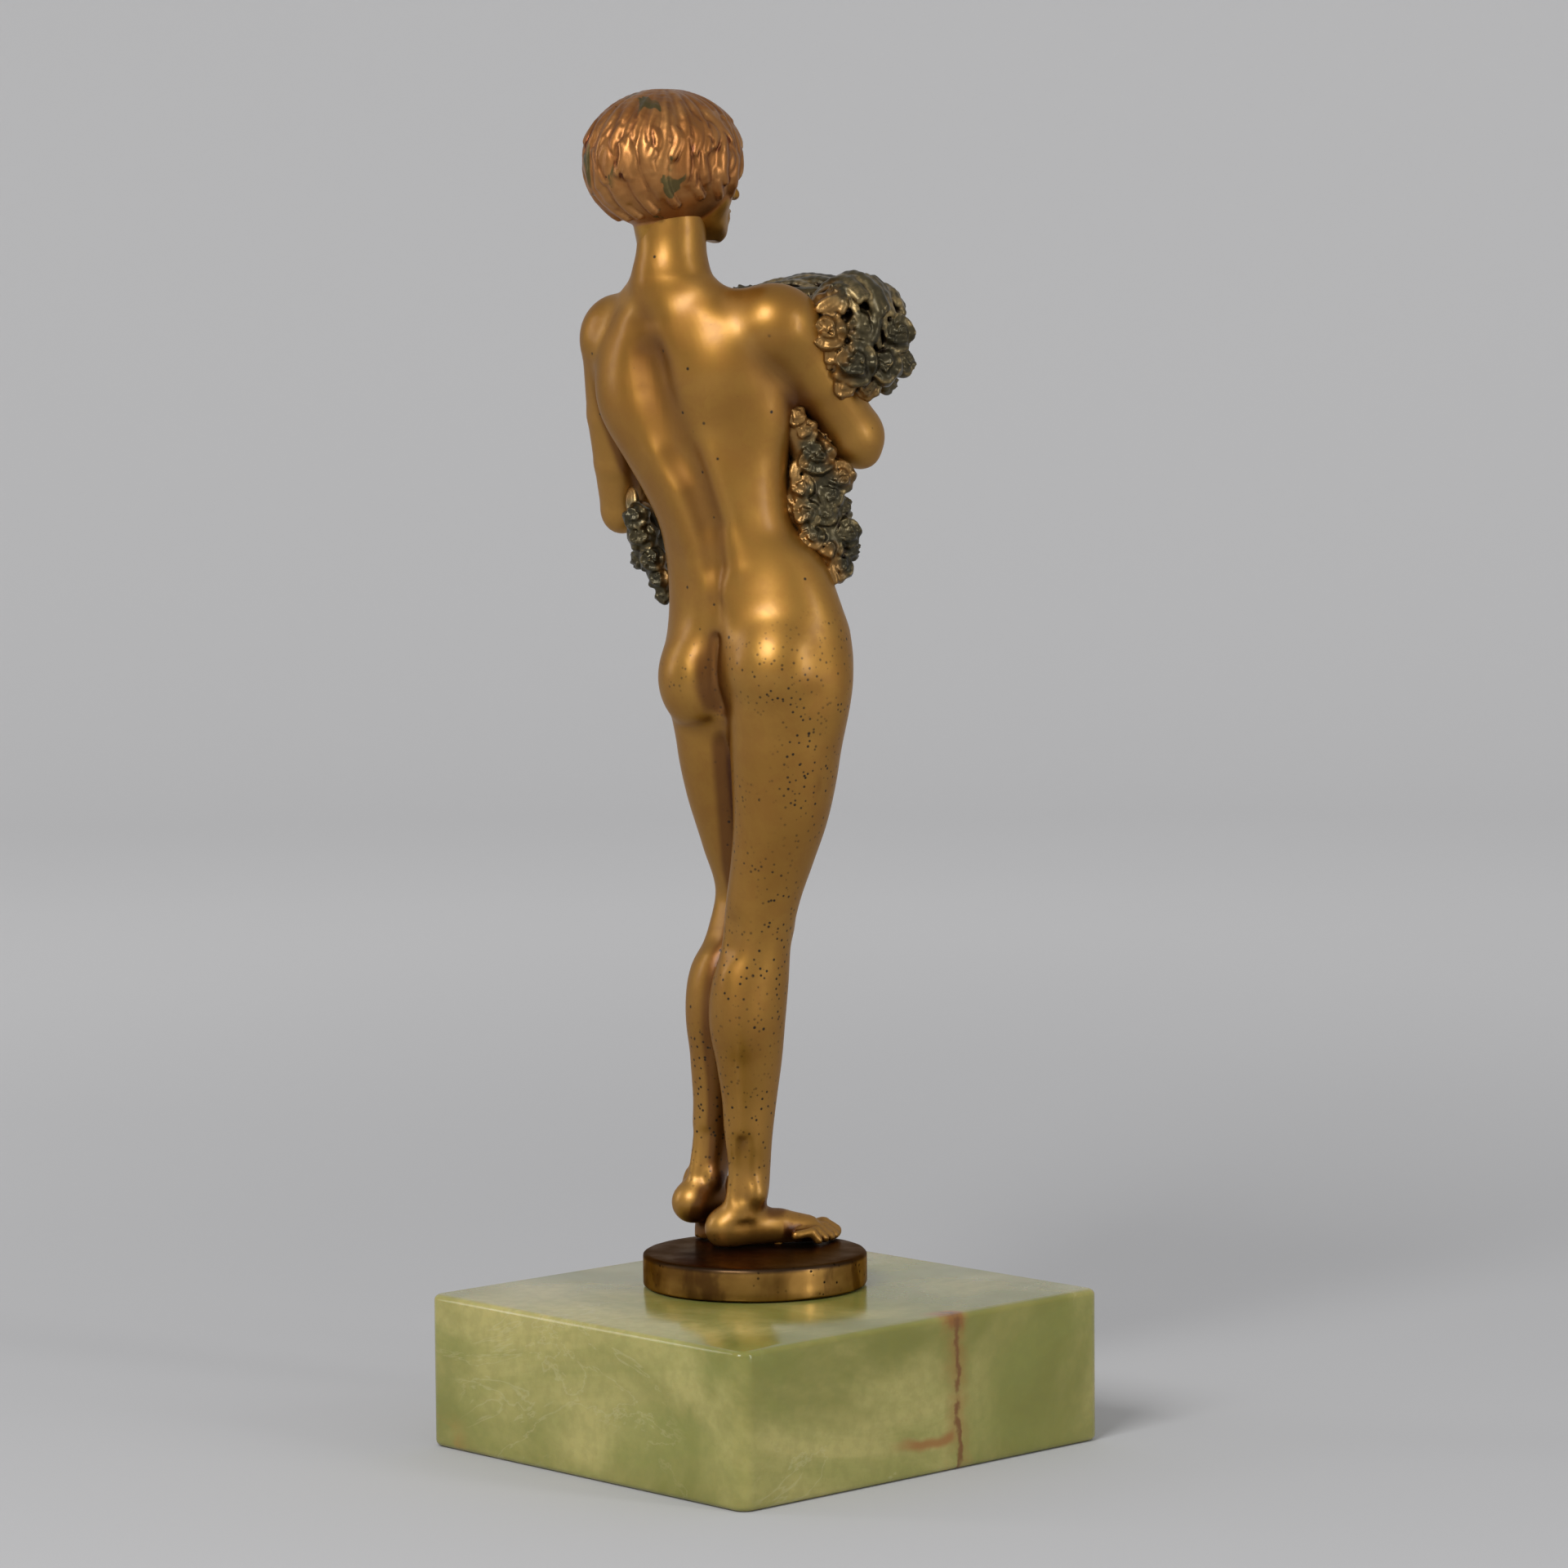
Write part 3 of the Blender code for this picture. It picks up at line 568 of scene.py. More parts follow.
def hand(wrist, palm, fingertips, thumb):
    """Chains of a palm and its fingers, from the wrist to the tips."""
    radius = 1.05
    chains = [((*wrist, 2.3), (*palm, 2.0))]
    palm = np.array(palm, float)
    tips = np.array(fingertips, float)
    spread = tips - tips.mean(0)
    for tip, offset in zip(tips, spread):
        root = palm + 0.62 * offset
        knuckle = root + 0.52 * (tip - root) + (0, -0.7, 0.3)
        chains.append(((*(0.5 * (root + wrist)), 1.1), (*root, radius * 1.06),
                       (*knuckle, radius), (*tip, radius * 0.82)))
    chains.append(((*(0.6 * np.array(wrist) + 0.4 * palm), 1.3), (*thumb[0], 1.1), (*thumb[1], 0.85)))
    return chains


def sculpt_arms(clay):
    arms = clay.blank()
    arms.add_limb(LEFT_ARM, 2.0)
    arms.add_limb(RIGHT_FOREARM, 2.4)
    # the points of the elbows
    arms.add(ball((31.2, 1.8, 127.6), (2.6, 2.8, 2.6)), 2.0)
    arms.add(ball((-11.6, -16.2, 138.9), (2.8, 2.8, 2.6)), 2.0)
    left = hand((13.6, -21.6, 135.0), (10.2, -23.2, 136.0),
                ((4.0, -23.6, 138.6), (3.2, -23.8, 137.0), (3.5, -23.4, 135.4), (4.6, -22.8, 134.0)),
                ((9.6, -24.0, 138.8), (7.0, -24.2, 141.2)))
    right = hand((17.6, -23.6, 152.2), (21.2, -22.4, 153.8),
                 ((26.0, -18.4, 157.8), (27.0, -17.6, 156.1), (27.0, -17.2, 154.4), (26.0, -17.2, 152.9)),
                 ((20.4, -23.6, 156.4), (22.2, -22.8, 159.2)))
    for chain in left + right:
        arms.add_chain(chain, 0.6)
    clay.merge(arms, 2.4)


def make_figure(material):
    clay = Clay((-24, -34, -0.6), (40, 26, 186), BODY_STEP)
    sculpt_torso(clay)
    model_back(clay)
    sculpt_legs(clay)
    model_front(clay)
    sculpt_feet(clay)
    sculpt_arms(clay)
    clay.cut_below(0.1)
    return clay.make("bronze_figure", material), clay


# ---- The head ----
# Its own frame has x to her left, y to the back and z up, from the middle of the hair.

HEAD_CENTRE = (8.2, 11.6, 189.3)
HEAD_TURN = turn_z(-15)
HAIR_RADII = np.array((12.0, 14.2, 12.1))
FACE = (
    (-13.6, 0, -7.9, 2.5, 2, 2.4, 0),
    (-12.2, 0, -7, 4.2, 4, 4.4, 0),
    (-9.4, 0, -5, 6, 6, 6.6, 0),
    (-5.2, 0, -3.4, 6.9, 7, 8.2, 0),
    (-1, 0, -2.4, 7.7, 8, 9.1, 0),
    (3, 0, -2, 7.9, 9, 9.7, 0),
    (7, 0, -1.5, 7.4, 9, 9.5, 0),
    (10.4, 0, -0.8, 4.6, 6, 5.6, 0),
)
# The upper lid, the lower lid and the brow of one eye: a path, its width and its depth
EYE_RIDGES = (
    (((1.9, -11.6, -1.6), (2.9, -11.8, -0.85), (4.0, -11.4, -0.95), (4.9, -10.6, -1.6)), 0.30, -0.28),
    (((2.1, -11.4, -1.9), (3.2, -11.6, -2.4), (4.6, -10.8, -1.9)), 0.28, -0.2),
    (((1.5, -12.2, 0.6), (3.2, -12.0, 1.3), (5.3, -10.2, 0.7)), 0.45, -0.16),
)


def mirrored(path):
    """A path and its reflection on the other side of the face."""
    return [path, [(-x, *rest) for x, *rest in path]]


def sculpt_face(clay):
    clay.add(loft(FACE))
    clay.add_chain(((-0.8, -0.4, -16.8, 4.9), (-0.4, 0.2, -8.0, 5.8)), 3.0)
    clay.add(ball((0, -9.9, -12.3), (2.3, 1.7, 1.6)), 1.5)
    for side in (-1, 1):
        clay.add(ball((side * 3.1, -10.3, 0.9), (3.0, 1.1, 1.1)), 2.2)
        clay.add(ball((side * 4.2, -7.4, -5.2), (3.3, 3.2, 3.6)), 3.6)
        clay.press(((side * 2.2, -11.6, -1.5), (side * 4.4, -10.9, -1.5)), 1.2, 0.55)
        clay.add(ball((side * 3.25, -9.8, -1.55), 1.5), 0.4)
    # nose
    clay.add_chain(((0, -11.2, -0.2, 0.75), (0, -12.4, -3.0, 0.8), (0, -13.4, -5.4, 0.95)), 1.3)
    clay.add(ball((0, -13.5, -5.7), (1.05, 1.0, 0.9)), 0.7)
    for side in (-1, 1):
        clay.add(ball((side * 0.95, -12.3, -5.9), (0.65, 0.95, 0.6)), 0.8)
        clay.press(((side * 0.6, -12.9, -6.9), (side * 0.6, -12.6, -6.9)), 0.35, 0.4)
    # lips
    clay.add(ball((0, -10.8, -9.3), (2.9, 1.3, 2.0)), 1.3)
    clay.add_chain(((-2.1, -11.3, -9.0, 0.35), (-0.7, -12.0, -8.6, 0.5), (0.7, -12.0, -8.6, 0.5),
                    (2.1, -11.3, -9.0, 0.35)), 0.5)
    clay.add_chain(((-1.8, -11.3, -9.5, 0.35), (0, -11.9, -9.9, 0.65), (1.8, -11.3, -9.5, 0.35)), 0.5)
    clay.press(((-2.3, -11.6, -9.15), (0, -12.6, -9.2), (2.3, -11.6, -9.15)), 0.32, 0.45)
    clay.press(((-1.1, -12.0, -11.2), (1.1, -12.0, -11.2)), 0.7, 0.3)
    # eyelids and brows
    for ridge, width, depth in EYE_RIDGES:
        for path in mirrored(ridge):
            clay.press(path, width, depth)


def on_hair(around, down, lift=0.0):
    """A point over the hair: degrees round from her left by the back, and down from the crown."""
    a, d = math.radians(around), math.radians(down)
    unit = np.array((math.sin(d) * math.cos(a), math.sin(d) * math.sin(a), math.cos(d)))
    return unit * (HAIR_RADII + lift)


def lock(around, first, last, swing, radius, rise, steps=14):
    """A lock of hair that sweeps down the head, its end tucked in."""
    chain = []
    for t in np.linspace(0, 1, steps):
        down = first + (last - first) * t
        r = radius(t) * (0.35 + 0.65 * math.sin(math.radians(min(down, 90))))
        tuck = 1.1 * max(t - 0.88, 0) / 0.12
        chain.append((*on_hair(around + swing(t), down, rise * (0.35 + 0.65 * t) - r - tuck), r))
    return chain


def at_back(around):
    """1 at the back of the head, 0 before the ears."""
    return max(math.sin(math.radians(around)), 0)


def scattered(i, around, down):
    """The i-th of places spread evenly over the hair, from the start and the span of each range."""
    return around[0] + around[1] * ((i * 0.618034) % 1), down[0] + down[1] * ((i * 0.754878) % 1)


def sculpt_hair(clay):
    hair = clay.blank()
    hair.add(ball((0, 0, 0), HAIR_RADII - 0.25))
    rng = np.random.default_rng(7)
    # long locks from the crown to the nape and the cheeks, waved like an S
    count = 23
    for i in range(count):
        around = -66 + 312 * i / (count - 1) + rng.uniform(-2.5, 2.5)
        back = at_back(around)
        wave, phase, turns = rng.uniform(5, 9), rng.uniform(-0.9, 0.9), rng.uniform(5.5, 8.0)
        sweep = 12.0 * max(around - 150, 0) / 90
        hair.add_chain(lock(around, 8, 122 + 24 * back + rng.uniform(-7, 4),
                            lambda t: wave * math.sin(turns * t + phase) * t + sweep * t * t,
                            lambda t: 1.9 - 0.7 * max(t - 0.8, 0) / 0.2, 0.42, 22), 0.5)
    # shorter locks laid over them, which wave the other way and end in hooks
    for i in range(30):
        around, first = scattered(i, (-50, 284), (46, 44))
        back = at_back(around)
        length = rng.uniform(26, 40)
        way = rng.choice((-1, 1))
        hair.add_chain(lock(around, first, min(first + length, 122 + 12 * back),
                            lambda t: way * (7 * math.sin(4.0 * t) + 7 * t ** 3),
                            lambda t: 0.40 + 0.72 * math.sin(math.pi * min(t + 0.10, 1) * 0.86),
                            0.62, 16), 0.4)
    # curls along the nape and before the ears
    for i in range(13):
        around = -40 + 262 * i / 12
        back = at_back(around)
        way = 1 if around > 90 else -1
        hair.add_chain(lock(around, 100 + 18 * back, 124 + 25 * back,
                            lambda t: way * 15 * t * t, lambda t: 1.15 - 0.5 * t, 0.55, 10), 0.35)
    # the fringe, brushed over the forehead to her right
    for i in range(9):
        around = 236 + 9.5 * i
        hair.add_chain(lock(around, 11, 66 - abs(around - 272) * 0.1,
                            lambda t: 3 * math.sin(5 * t + i) - 16 * t * t,
                            lambda t: 1.5 - 0.5 * t, 0.6), 0.35)
    # fine strands
    for i in range(70):
        around, first = scattered(i, (-58, 296), (14, 74))
        length, bend = rng.uniform(20, 38), rng.uniform(-6, 6)
        path = [on_hair(around + bend * math.sin(3.2 * t), min(first + length * t, 124), 0.25)
                for t in np.linspace(0, 1, 6)]
        hair.press(path, 0.34, 0.20)
    # the opening for the face
    hair.cut(ball((0, -15.6, -5.6), (8.1, 9.6, 11.2)), 0.8)
    hair.cut(ball((0, -11.0, -16.5), (7.0, 9.6, 6.0)), 0.8)
    clay.merge(hair, 0.35)
    return hair


def make_head(material):
    clay = Clay((-14.5, -17, -17), (14.5, 17, 14), HEAD_STEP)
    sculpt_face(clay)
    hair = sculpt_hair(clay)
    clay.cut_below(-15.8)
    head = clay.make("bronze_head", material, reach=0.8, turn=HEAD_TURN, centre=HEAD_CENTRE)
    hair.mark_nearness(head, "hair", 0.7, HEAD_TURN, HEAD_CENTRE)
    return head


# ---- The roses ----

BOUQUET = (((1, -15.6, 160.6), (20.0, 8.2, 8.0)), ((-14.2, -12.2, 161.4), (6.4, 7.4, 7.4)),
           ((5, -12.5, 145), (12.6, 7.4, 11.6)))
# What the trails of roses grow from: places and radii
TRAIL_STEMS = (((-8.4, -3.0, 143, 2.2), (-8.8, -7.6, 137, 3.6), (-8.8, -8.4, 130, 3.8),
                (-9.4, -9.0, 124, 3.4), (-10.4, -9.6, 119.6, 2.0)),
               ((26.0, 1.6, 128, 2.6), (24.0, 1.4, 123, 2.9), (22.0, 0.8, 118, 2.2),
                (20.8, 0.6, 114.4, 1.4)))
# Roses of the trails: place, radius and facing, in degrees round from her left by the back
TRAIL_ROSES = (
    ((-9.9, -1.9, 145.4), 2.0, 135), ((-10.3, -3.8, 143.0), 2.3, 140),
    ((-10.4, -5.9, 138.3), 3.8, 140), ((-12.3, -9.7, 134.9), 3.1, 150),
    ((-7.6, -3.4, 130.6), 2.6, 130), ((-9.5, -3.6, 133.2), 2.4, 130), ((-11.8, -7.9, 131.6), 2.7, 140),
    ((-9.6, -4.3, 128.6), 2.8, 130), ((-11.5, -7.2, 128.4), 2.4, 140), ((-12.5, -11.2, 125.2), 2.8, 155),
    ((-10.3, -5.1, 124.6), 2.6, 135), ((-11.2, -8.0, 122.6), 2.8, 145), ((-11.6, -10.2, 119.3), 2.7, 150),
    ((-9.5, -8.9, 141.8), 2.6, 160), ((-10.4, -11.4, 129.3), 2.8, 185), ((-11.7, -12.8, 122.3), 2.2, 190),
    ((-6.9, -12.5, 131.9), 3.2, 220), ((-7.5, -13.1, 126.2), 3.0, 215),
    ((-6.7, -12.3, 136.7), 3.2, 215), ((-7.4, -11.6, 121.7), 2.5, 220),
    ((23.0, 5.4, 127.8), 2.6, 115), ((22.6, 4.4, 124.6), 2.9, 125),
    ((21.0, 3.4, 120.4), 2.6, 125), ((20.2, 2.6, 117.0), 2.2, 120), ((20.0, 1.8, 114.2), 1.8, 110),
    ((25.8, -1.4, 123.6), 3.0, 10), ((23.4, -1.6, 118.8), 2.6, 0), ((25.8, 2.2, 120.6), 2.2, 60),
)
# Roses on the side of the bouquet over her right arm
ARM_ROSES = (
    ((-16.0, -3.4, 159.6), 3.8, 138), ((-18.6, -7.6, 154.4), 4.2, 140),
    ((-20.0, -12.8, 154.0), 3.6, 145), ((-18.0, -11.2, 150.3), 2.4, 145),
    ((-16.8, -6.7, 150.4), 2.2, 135), ((-16.6, -4.6, 155.6), 2.4, 138),
    ((-18.6, -9.0, 160.4), 3.6, 142), ((-20.4, -15.4, 159.4), 3.6, 160),
    ((-19.6, -17.6, 154.6), 2.8, 180), ((-16.2, -17.4, 151.6), 2.6, 215),
)
LEAVES = (
    ((-12.0, -8.0, 118.0), 3.2, 140, -60), ((-9.2, -2.4, 136.2), 3.2, 130, -100),
    ((24.6, 5.0, 130.6), 4.4, 100, -80), ((19.6, -1.4, 113.2), 3.2, 20, -70),
    ((-16.6, -3.2, 164.4), 4.0, 140, 30),
)


def facing_axes(around, up=0.0):
    """Axes whose third column points outward, degrees round from her left and up."""
    a, e = math.radians(around), math.radians(up)
    out = np.array((math.cos(e) * math.cos(a), math.cos(e) * math.sin(a), math.sin(e)))
    side = np.cross((0, 0, 1.0), out)
    side /= np.linalg.norm(side)
    return np.stack([side, np.cross(out, side), out], 1)


def rose(centre, radius, axes, seed):
    """A cupped flower: a flattened ball wound with the spiral edges of its petals."""
    c = np.array(centre, float)
    pitch = radius / 1.75
    twist = 1 if seed % 2 else -1

    def distance(p):
        q = (p - c) @ axes
        u, v, n = q[..., 0], q[..., 1], q[..., 2]
        away, angle = np.hypot(u, v), np.arctan2(v, u)
        ragged = 0.06 * np.sin(5 * angle + seed) + 0.04 * np.sin(8 * angle + 2 * seed)
        flat = np.sqrt(away * away + (n / 0.72) ** 2) - radius * (1 + ragged)
        wobble = 0.12 * np.sin(3 * angle + seed) + 0.07 * np.sin(5 * angle + 2 * seed)
        turns = (away / pitch + wobble - twist * angle / (2 * math.pi)) % 1.0
        petal = np.where(turns < 0.7, turns / 0.7, (1 - turns) / 0.3) ** 1.5
        rim = np.clip((radius * 1.05 - away) / (0.2 * radius), 0, 1)
        front = np.clip(n / (0.25 * radius), 0, 1)
        return flat - front * rim * radius * (0.36 * petal - 0.14)

    reach = radius * 1.45
    return Form(c - reach, c + reach, distance)


def leaf(clay, centre, length, around, lean):
    """A pointed leaf lying on the roses, with a groove for its rib."""
    axes = facing_axes(around, 12)
    angle = math.radians(lean)
    along = axes[:, 0] * math.cos(angle) + axes[:, 1] * math.sin(angle)
    middle = np.array(centre, float)
    root, tip = middle - along * length / 2, middle + along * length / 2
    blade = np.stack([along, np.cross(axes[:, 2], along), axes[:, 2]], 1)
    clay.add(ball(middle, (length * 0.62, length * 0.33, 0.75), blade), 0.4)
    lifted = axes[:, 2] * 0.7
    clay.press((root + lifted, tip + lifted), 0.35, 0.4)


def covered(point, shapes, margin):
    return any((((np.array(point) - c) / (np.array(r) - margin)) ** 2).sum() < 1 for c, r in shapes)


def sculpt_bouquet(clay):
    for core in BOUQUET:
        clay.add(ball(core[0], np.array(core[1]) - 0.8), 2.0)
    taken = [(np.array(c), r) for c, r, _ in TRAIL_ROSES + ARM_ROSES]
    seed = 0
    for k, (centre, radii) in enumerate(BOUQUET):
        count = (78, 16, 54)[k]
        others = [core for i, core in enumerate(BOUQUET) if i != k]
        for i in range(count):
            z = 1 - 2 * (i + 0.5) / count
            a = i * 2.399963 + k
            unit = np.array((math.sqrt(1 - z * z) * math.cos(a), math.sqrt(1 - z * z) * math.sin(a), z))
            spot = np.array(centre) + unit * radii
            size = 2.7 + 0.8 * math.sin(i * 1.7 + k)
            hidden = covered(spot, others, 0.6)
            crowded = any(np.linalg.norm(spot - c) < 0.75 * (r + size) for c, r in taken)
            on_top = z > 0.62
            if hidden or crowded or on_top:
                continue
            taken.append((spot, size))
            normal = unit / np.array(radii)
            around = math.degrees(math.atan2(normal[1], normal[0]))
            up = math.degrees(math.atan2(normal[2], math.hypot(normal[0], normal[1])))
            clay.add(rose(spot, size, facing_axes(around, np.clip(up, -70, 70)), seed), 0.25)
            seed += 1
    return seed


def mound(x, y):
    """Height of the bouquet's rounded top over a place, or None beyond its edge."""
    heights = []
    for centre, radii in BOUQUET:
        inside = 1 - ((x - centre[0]) / (radii[0] + 1.2)) ** 2 - ((y - centre[1]) / (radii[1] + 1.2)) ** 2
        if inside > 0:
            heights.append(centre[2] + radii[2] * math.sqrt(inside))
    return max(heights) if heights else None


def wave_over(clay):
    """Long wavy petals and stems, like locks, over the top and down the side by the arm."""
    rng = np.random.default_rng(11)
    for i in range(24):
        y = -24 + 21.0 * i / 23
        bend, phase, thick = rng.uniform(0.6, 1.3), rng.uniform(0, 6), rng.uniform(0.7, 1.1)
        chain = []
        for t in np.linspace(0, 1, 26):
            x = -21.5 + 42 * t
            at_y = y + bend * math.sin(8 * t + phase) + 3.0 * t
            top = mound(x, at_y)
            if top is not None and top > 161.5:
                chain.append((x, at_y, top + 0.15 + 0.45 * math.sin(14 * t + 2 * phase), thick))
        if len(chain) > 1:
            clay.add_chain(chain, 0.35)
    for i in range(12):
        around = 96 + 13 * i
        phase = rng.uniform(0, 6)
        chain = []
        for t in np.linspace(0, 1, 10):
            a = math.radians(around + 8 * math.sin(5 * t + phase))
            rise = 8.2 - 11.5 * t
            spread = math.sqrt(max(1 - (rise / 9.2) ** 2, 0.05))
            chain.append((-14.2 + 7.0 * spread * math.cos(a), -12.2 + 7.8 * spread * math.sin(a),
                          160.4 + rise, 0.75 + 0.25 * math.sin(4 * t + i)))
        clay.add_chain(chain, 0.35)


def make_roses(material, body):
    clay = Clay((-25, -33, 108), (34, 12, 175), ROSE_STEP)
    seed = sculpt_bouquet(clay)
    wave_over(clay)
    for stem in TRAIL_STEMS:
        clay.add_chain(stem, 1.5)
    for i, (centre, radius, around) in enumerate(TRAIL_ROSES + ARM_ROSES):
        clay.add(rose(centre, radius, facing_axes(around, 8), seed + i), 0.2)
    for spot in LEAVES:
        leaf(clay, *spot)
    roses = clay.make("bronze_rose_bouquet", material, reach=0.9)
    body.mark_nearness(roses, "near_skin", 8.0)
    return roses


# ---- Disc and plinth ----

def link_mesh(name, bm, material):
    mesh = bpy.data.meshes.new(name)
    bm.to_mesh(mesh)
    bm.free()
    mesh.shade_smooth()
    mesh.materials.append(material)
    return put(name, mesh)


def rounded_edge(x, z, radius, start, end, steps=6):
    """Points round a quarter of a circle, between two angles in degrees."""
    return [(x + radius * math.cos(math.radians(a)), z + radius * math.sin(math.radians(a)))
            for a in np.linspace(start, end, steps)]


def spun(profile, steps, weld):
    """A profile of x and z spun about the Z axis, with points closer than weld joined."""
    bm = bmesh.new()
    verts = [bm.verts.new((x, 0, z)) for x, z in profile]
    edges = [bm.edges.new(pair) for pair in zip(verts[:-1], verts[1:])]
    bmesh.ops.spin(bm, geom=verts + edges, cent=(0, 0, 0), axis=(0, 0, 1), angle=2 * math.pi,
                   steps=steps, use_merge=True)
    bmesh.ops.remove_doubles(bm, verts=bm.verts, dist=weld)
    bmesh.ops.recalc_face_normals(bm, faces=bm.faces)
    return bm


def make_disc(material):
    """The turned disc: a profile from the foot's middle round to the top's, spun about the axis."""
    height = DISC_HIGH.z - DISC_LOW.z
    edge = 0.0008
    profile = [(0.0, 0.0), (DISC_RADIUS * 0.5, 0.0)]
    profile += rounded_edge(DISC_RADIUS - edge / 2, edge / 2, edge / 2, -90, 0, 4)
    profile += [(DISC_RADIUS, height * t) for t in (0.3, 0.5, 0.7)]
    profile += rounded_edge(DISC_RADIUS - edge, height - edge, edge, 0, 90)
    profile += [(DISC_RADIUS * t, height) for t in (0.85, 0.6, 0.35, 0.15)] + [(0.0, height)]
    bm = spun(profile, 192, 1e-7)
    # the slight unevenness of a hand-filed edge
    for vert in bm.verts:
        angle = math.atan2(vert.co.y, vert.co.x)
        away = math.hypot(vert.co.x, vert.co.y)
        if away > 0.9 * DISC_RADIUS:
            shift = 0.00005 * math.sin(7 * angle) + 0.00003 * math.sin(23 * angle + 1)
            vert.co.x -= (shift + 0.00008) * math.cos(angle)
            vert.co.y -= (shift + 0.00008) * math.sin(angle)
    bmesh.ops.translate(bm, verts=bm.verts, vec=(ORIGIN[0], ORIGIN[1], DISC_LOW.z))
    return link_mesh("bronze_disc", bm, material)


def make_plinth(material):
    """The onyx block: sawn, then ground and polished, with soft edges and corners."""
    bm = bmesh.new()
    bmesh.ops.create_cube(bm, size=1.0)
    size = PLINTH_HIGH - PLINTH_LOW
    bmesh.ops.scale(bm, vec=size, verts=bm.verts)
    upright = [e for e in bm.edges if abs(e.verts[0].co.z - e.verts[1].co.z) > size.z / 2]
    bmesh.ops.bevel(bm, geom=upright, offset=UPRIGHT_EDGE, segments=6, profile=0.5, affect="EDGES")
    rims = [e for e in bm.edges if len(e.link_faces) == 2 and e.calc_face_angle() > 1.0]
    bmesh.ops.bevel(bm, geom=rims, offset=RIM_EDGE, segments=4, profile=0.5, affect="EDGES")
    big = [e for e in bm.edges if e.calc_length() > 0.004]
    bmesh.ops.subdivide_edges(bm, edges=big, cuts=14, use_grid_fill=True)
    bmesh.ops.recalc_face_normals(bm, faces=bm.faces)
    bmesh.ops.translate(bm, verts=bm.verts, vec=(PLINTH_LOW + PLINTH_HIGH) / 2)
    return link_mesh("onyx_block", bm, material)


# ---- Materials ----

class Shader:
    """A material being wired: short calls for the nodes that this scene uses."""

    def __init__(self, name):
        self.material = bpy.data.materials.new(name)
        self.material.use_nodes = True
        self.tree = self.material.node_tree
        self.bsdf = self.tree.nodes["Principled BSDF"]
        self.place = self.node("TexCoord").outputs["Object"]

    def node(self, kind, inputs=(), **options):
        """A node: its options are set, then its inputs fed with values or other nodes' outputs."""
        node = self.tree.nodes.new("ShaderNode" + kind)
        for key, value in options.items():
            setattr(node, key, value)
        for key, value in inputs:
            if isinstance(value, bpy.types.NodeSocket):
                self.tree.links.new(value, node.inputs[key])
            else:
                node.inputs[key].default_value = value
        return node

    def set(self, **values):
        for key, value in values.items():
            self.bsdf.inputs[key.replace("_", " ").title().replace("Ior", "IOR")].default_value = value

    def link(self, source, socket):
        self.tree.links.new(source, self.bsdf.inputs[socket])

    def attribute(self, name):
        return self.node("Attribute", attribute_name=name).outputs["Fac"]

    def axis(self, name):
        return self.node("SeparateXYZ", ((0, self.place),)).outputs[name]

    def moved(self, scale, place=(0, 0, 0), turn=(0, 0, 0)):
        inputs = (("Vector", self.place), ("Scale", scale), ("Location", place), ("Rotation", turn))
        return self.node("Mapping", inputs).outputs["Vector"]

    def noise(self, scale, detail=4.0, rough=0.5, warp=0.0, vector=None):
        inputs = (("Vector", vector or self.place), ("Scale", scale), ("Detail", detail),
                  ("Roughness", rough), ("Distortion", warp))
        return self.node("TexNoise", inputs).outputs["Fac"]

    def step(self, value, low, high, start=0.0, end=1.0):
        """Spread the range low..high of a value smoothly over start..end."""
        inputs = (("Value", value), ("From Min", low), ("From Max", high), ("To Min", start),
                  ("To Max", end))
        return self.node("MapRange", inputs, interpolation_type="SMOOTHSTEP").outputs["Result"]

    def math(self, operation, one, two=0.0):
        clamp = operation in ("MULTIPLY", "SUBTRACT")
        node = self.node("Math", ((0, one), (1, two)), operation=operation, use_clamp=clamp)
        return node.outputs[0]

    def times(self, one, two):
        return self.math("MULTIPLY", one, two)

    def plus(self, one, two):
        return self.math("ADD", one, two)

    def minus(self, one, two):
        return self.math("SUBTRACT", one, two)

    def mix(self, factor, one, two):
        inputs = [(0, factor)]
        for key, tone in ((6, one), (7, two)):
            inputs.append((key, tone if isinstance(tone, bpy.types.NodeSocket) else (*tone, 1)))
        return self.node("Mix", inputs, data_type="RGBA").outputs[2]

    def tint(self, colour, mask, amount, tone):
        """A colour brought towards a tone by an amount, where a mask allows it."""
        return self.mix(self.times(mask, amount), colour, tone)

    def speckle(self, scale, size, mask):
        """Dark pits: spots of a size round scattered points, where a mask allows them."""
        away = self.node("TexVoronoi", (("Vector", self.place), ("Scale", scale))).outputs["Distance"]
        return self.times(self.step(away, size, size * 0.45), mask)

    def done(self, colour, rough, bump, **values):
        """The material, wired to a colour, a roughness and a bump (height, strength, distance)."""
        self.link(colour, "Base Color")
        self.link(rough, "Roughness")
        node = self.node("Bump", zip(("Height", "Strength", "Distance"), bump))
        self.link(node.outputs["Normal"], "Normal")
        self.set(**values)
        return self.material


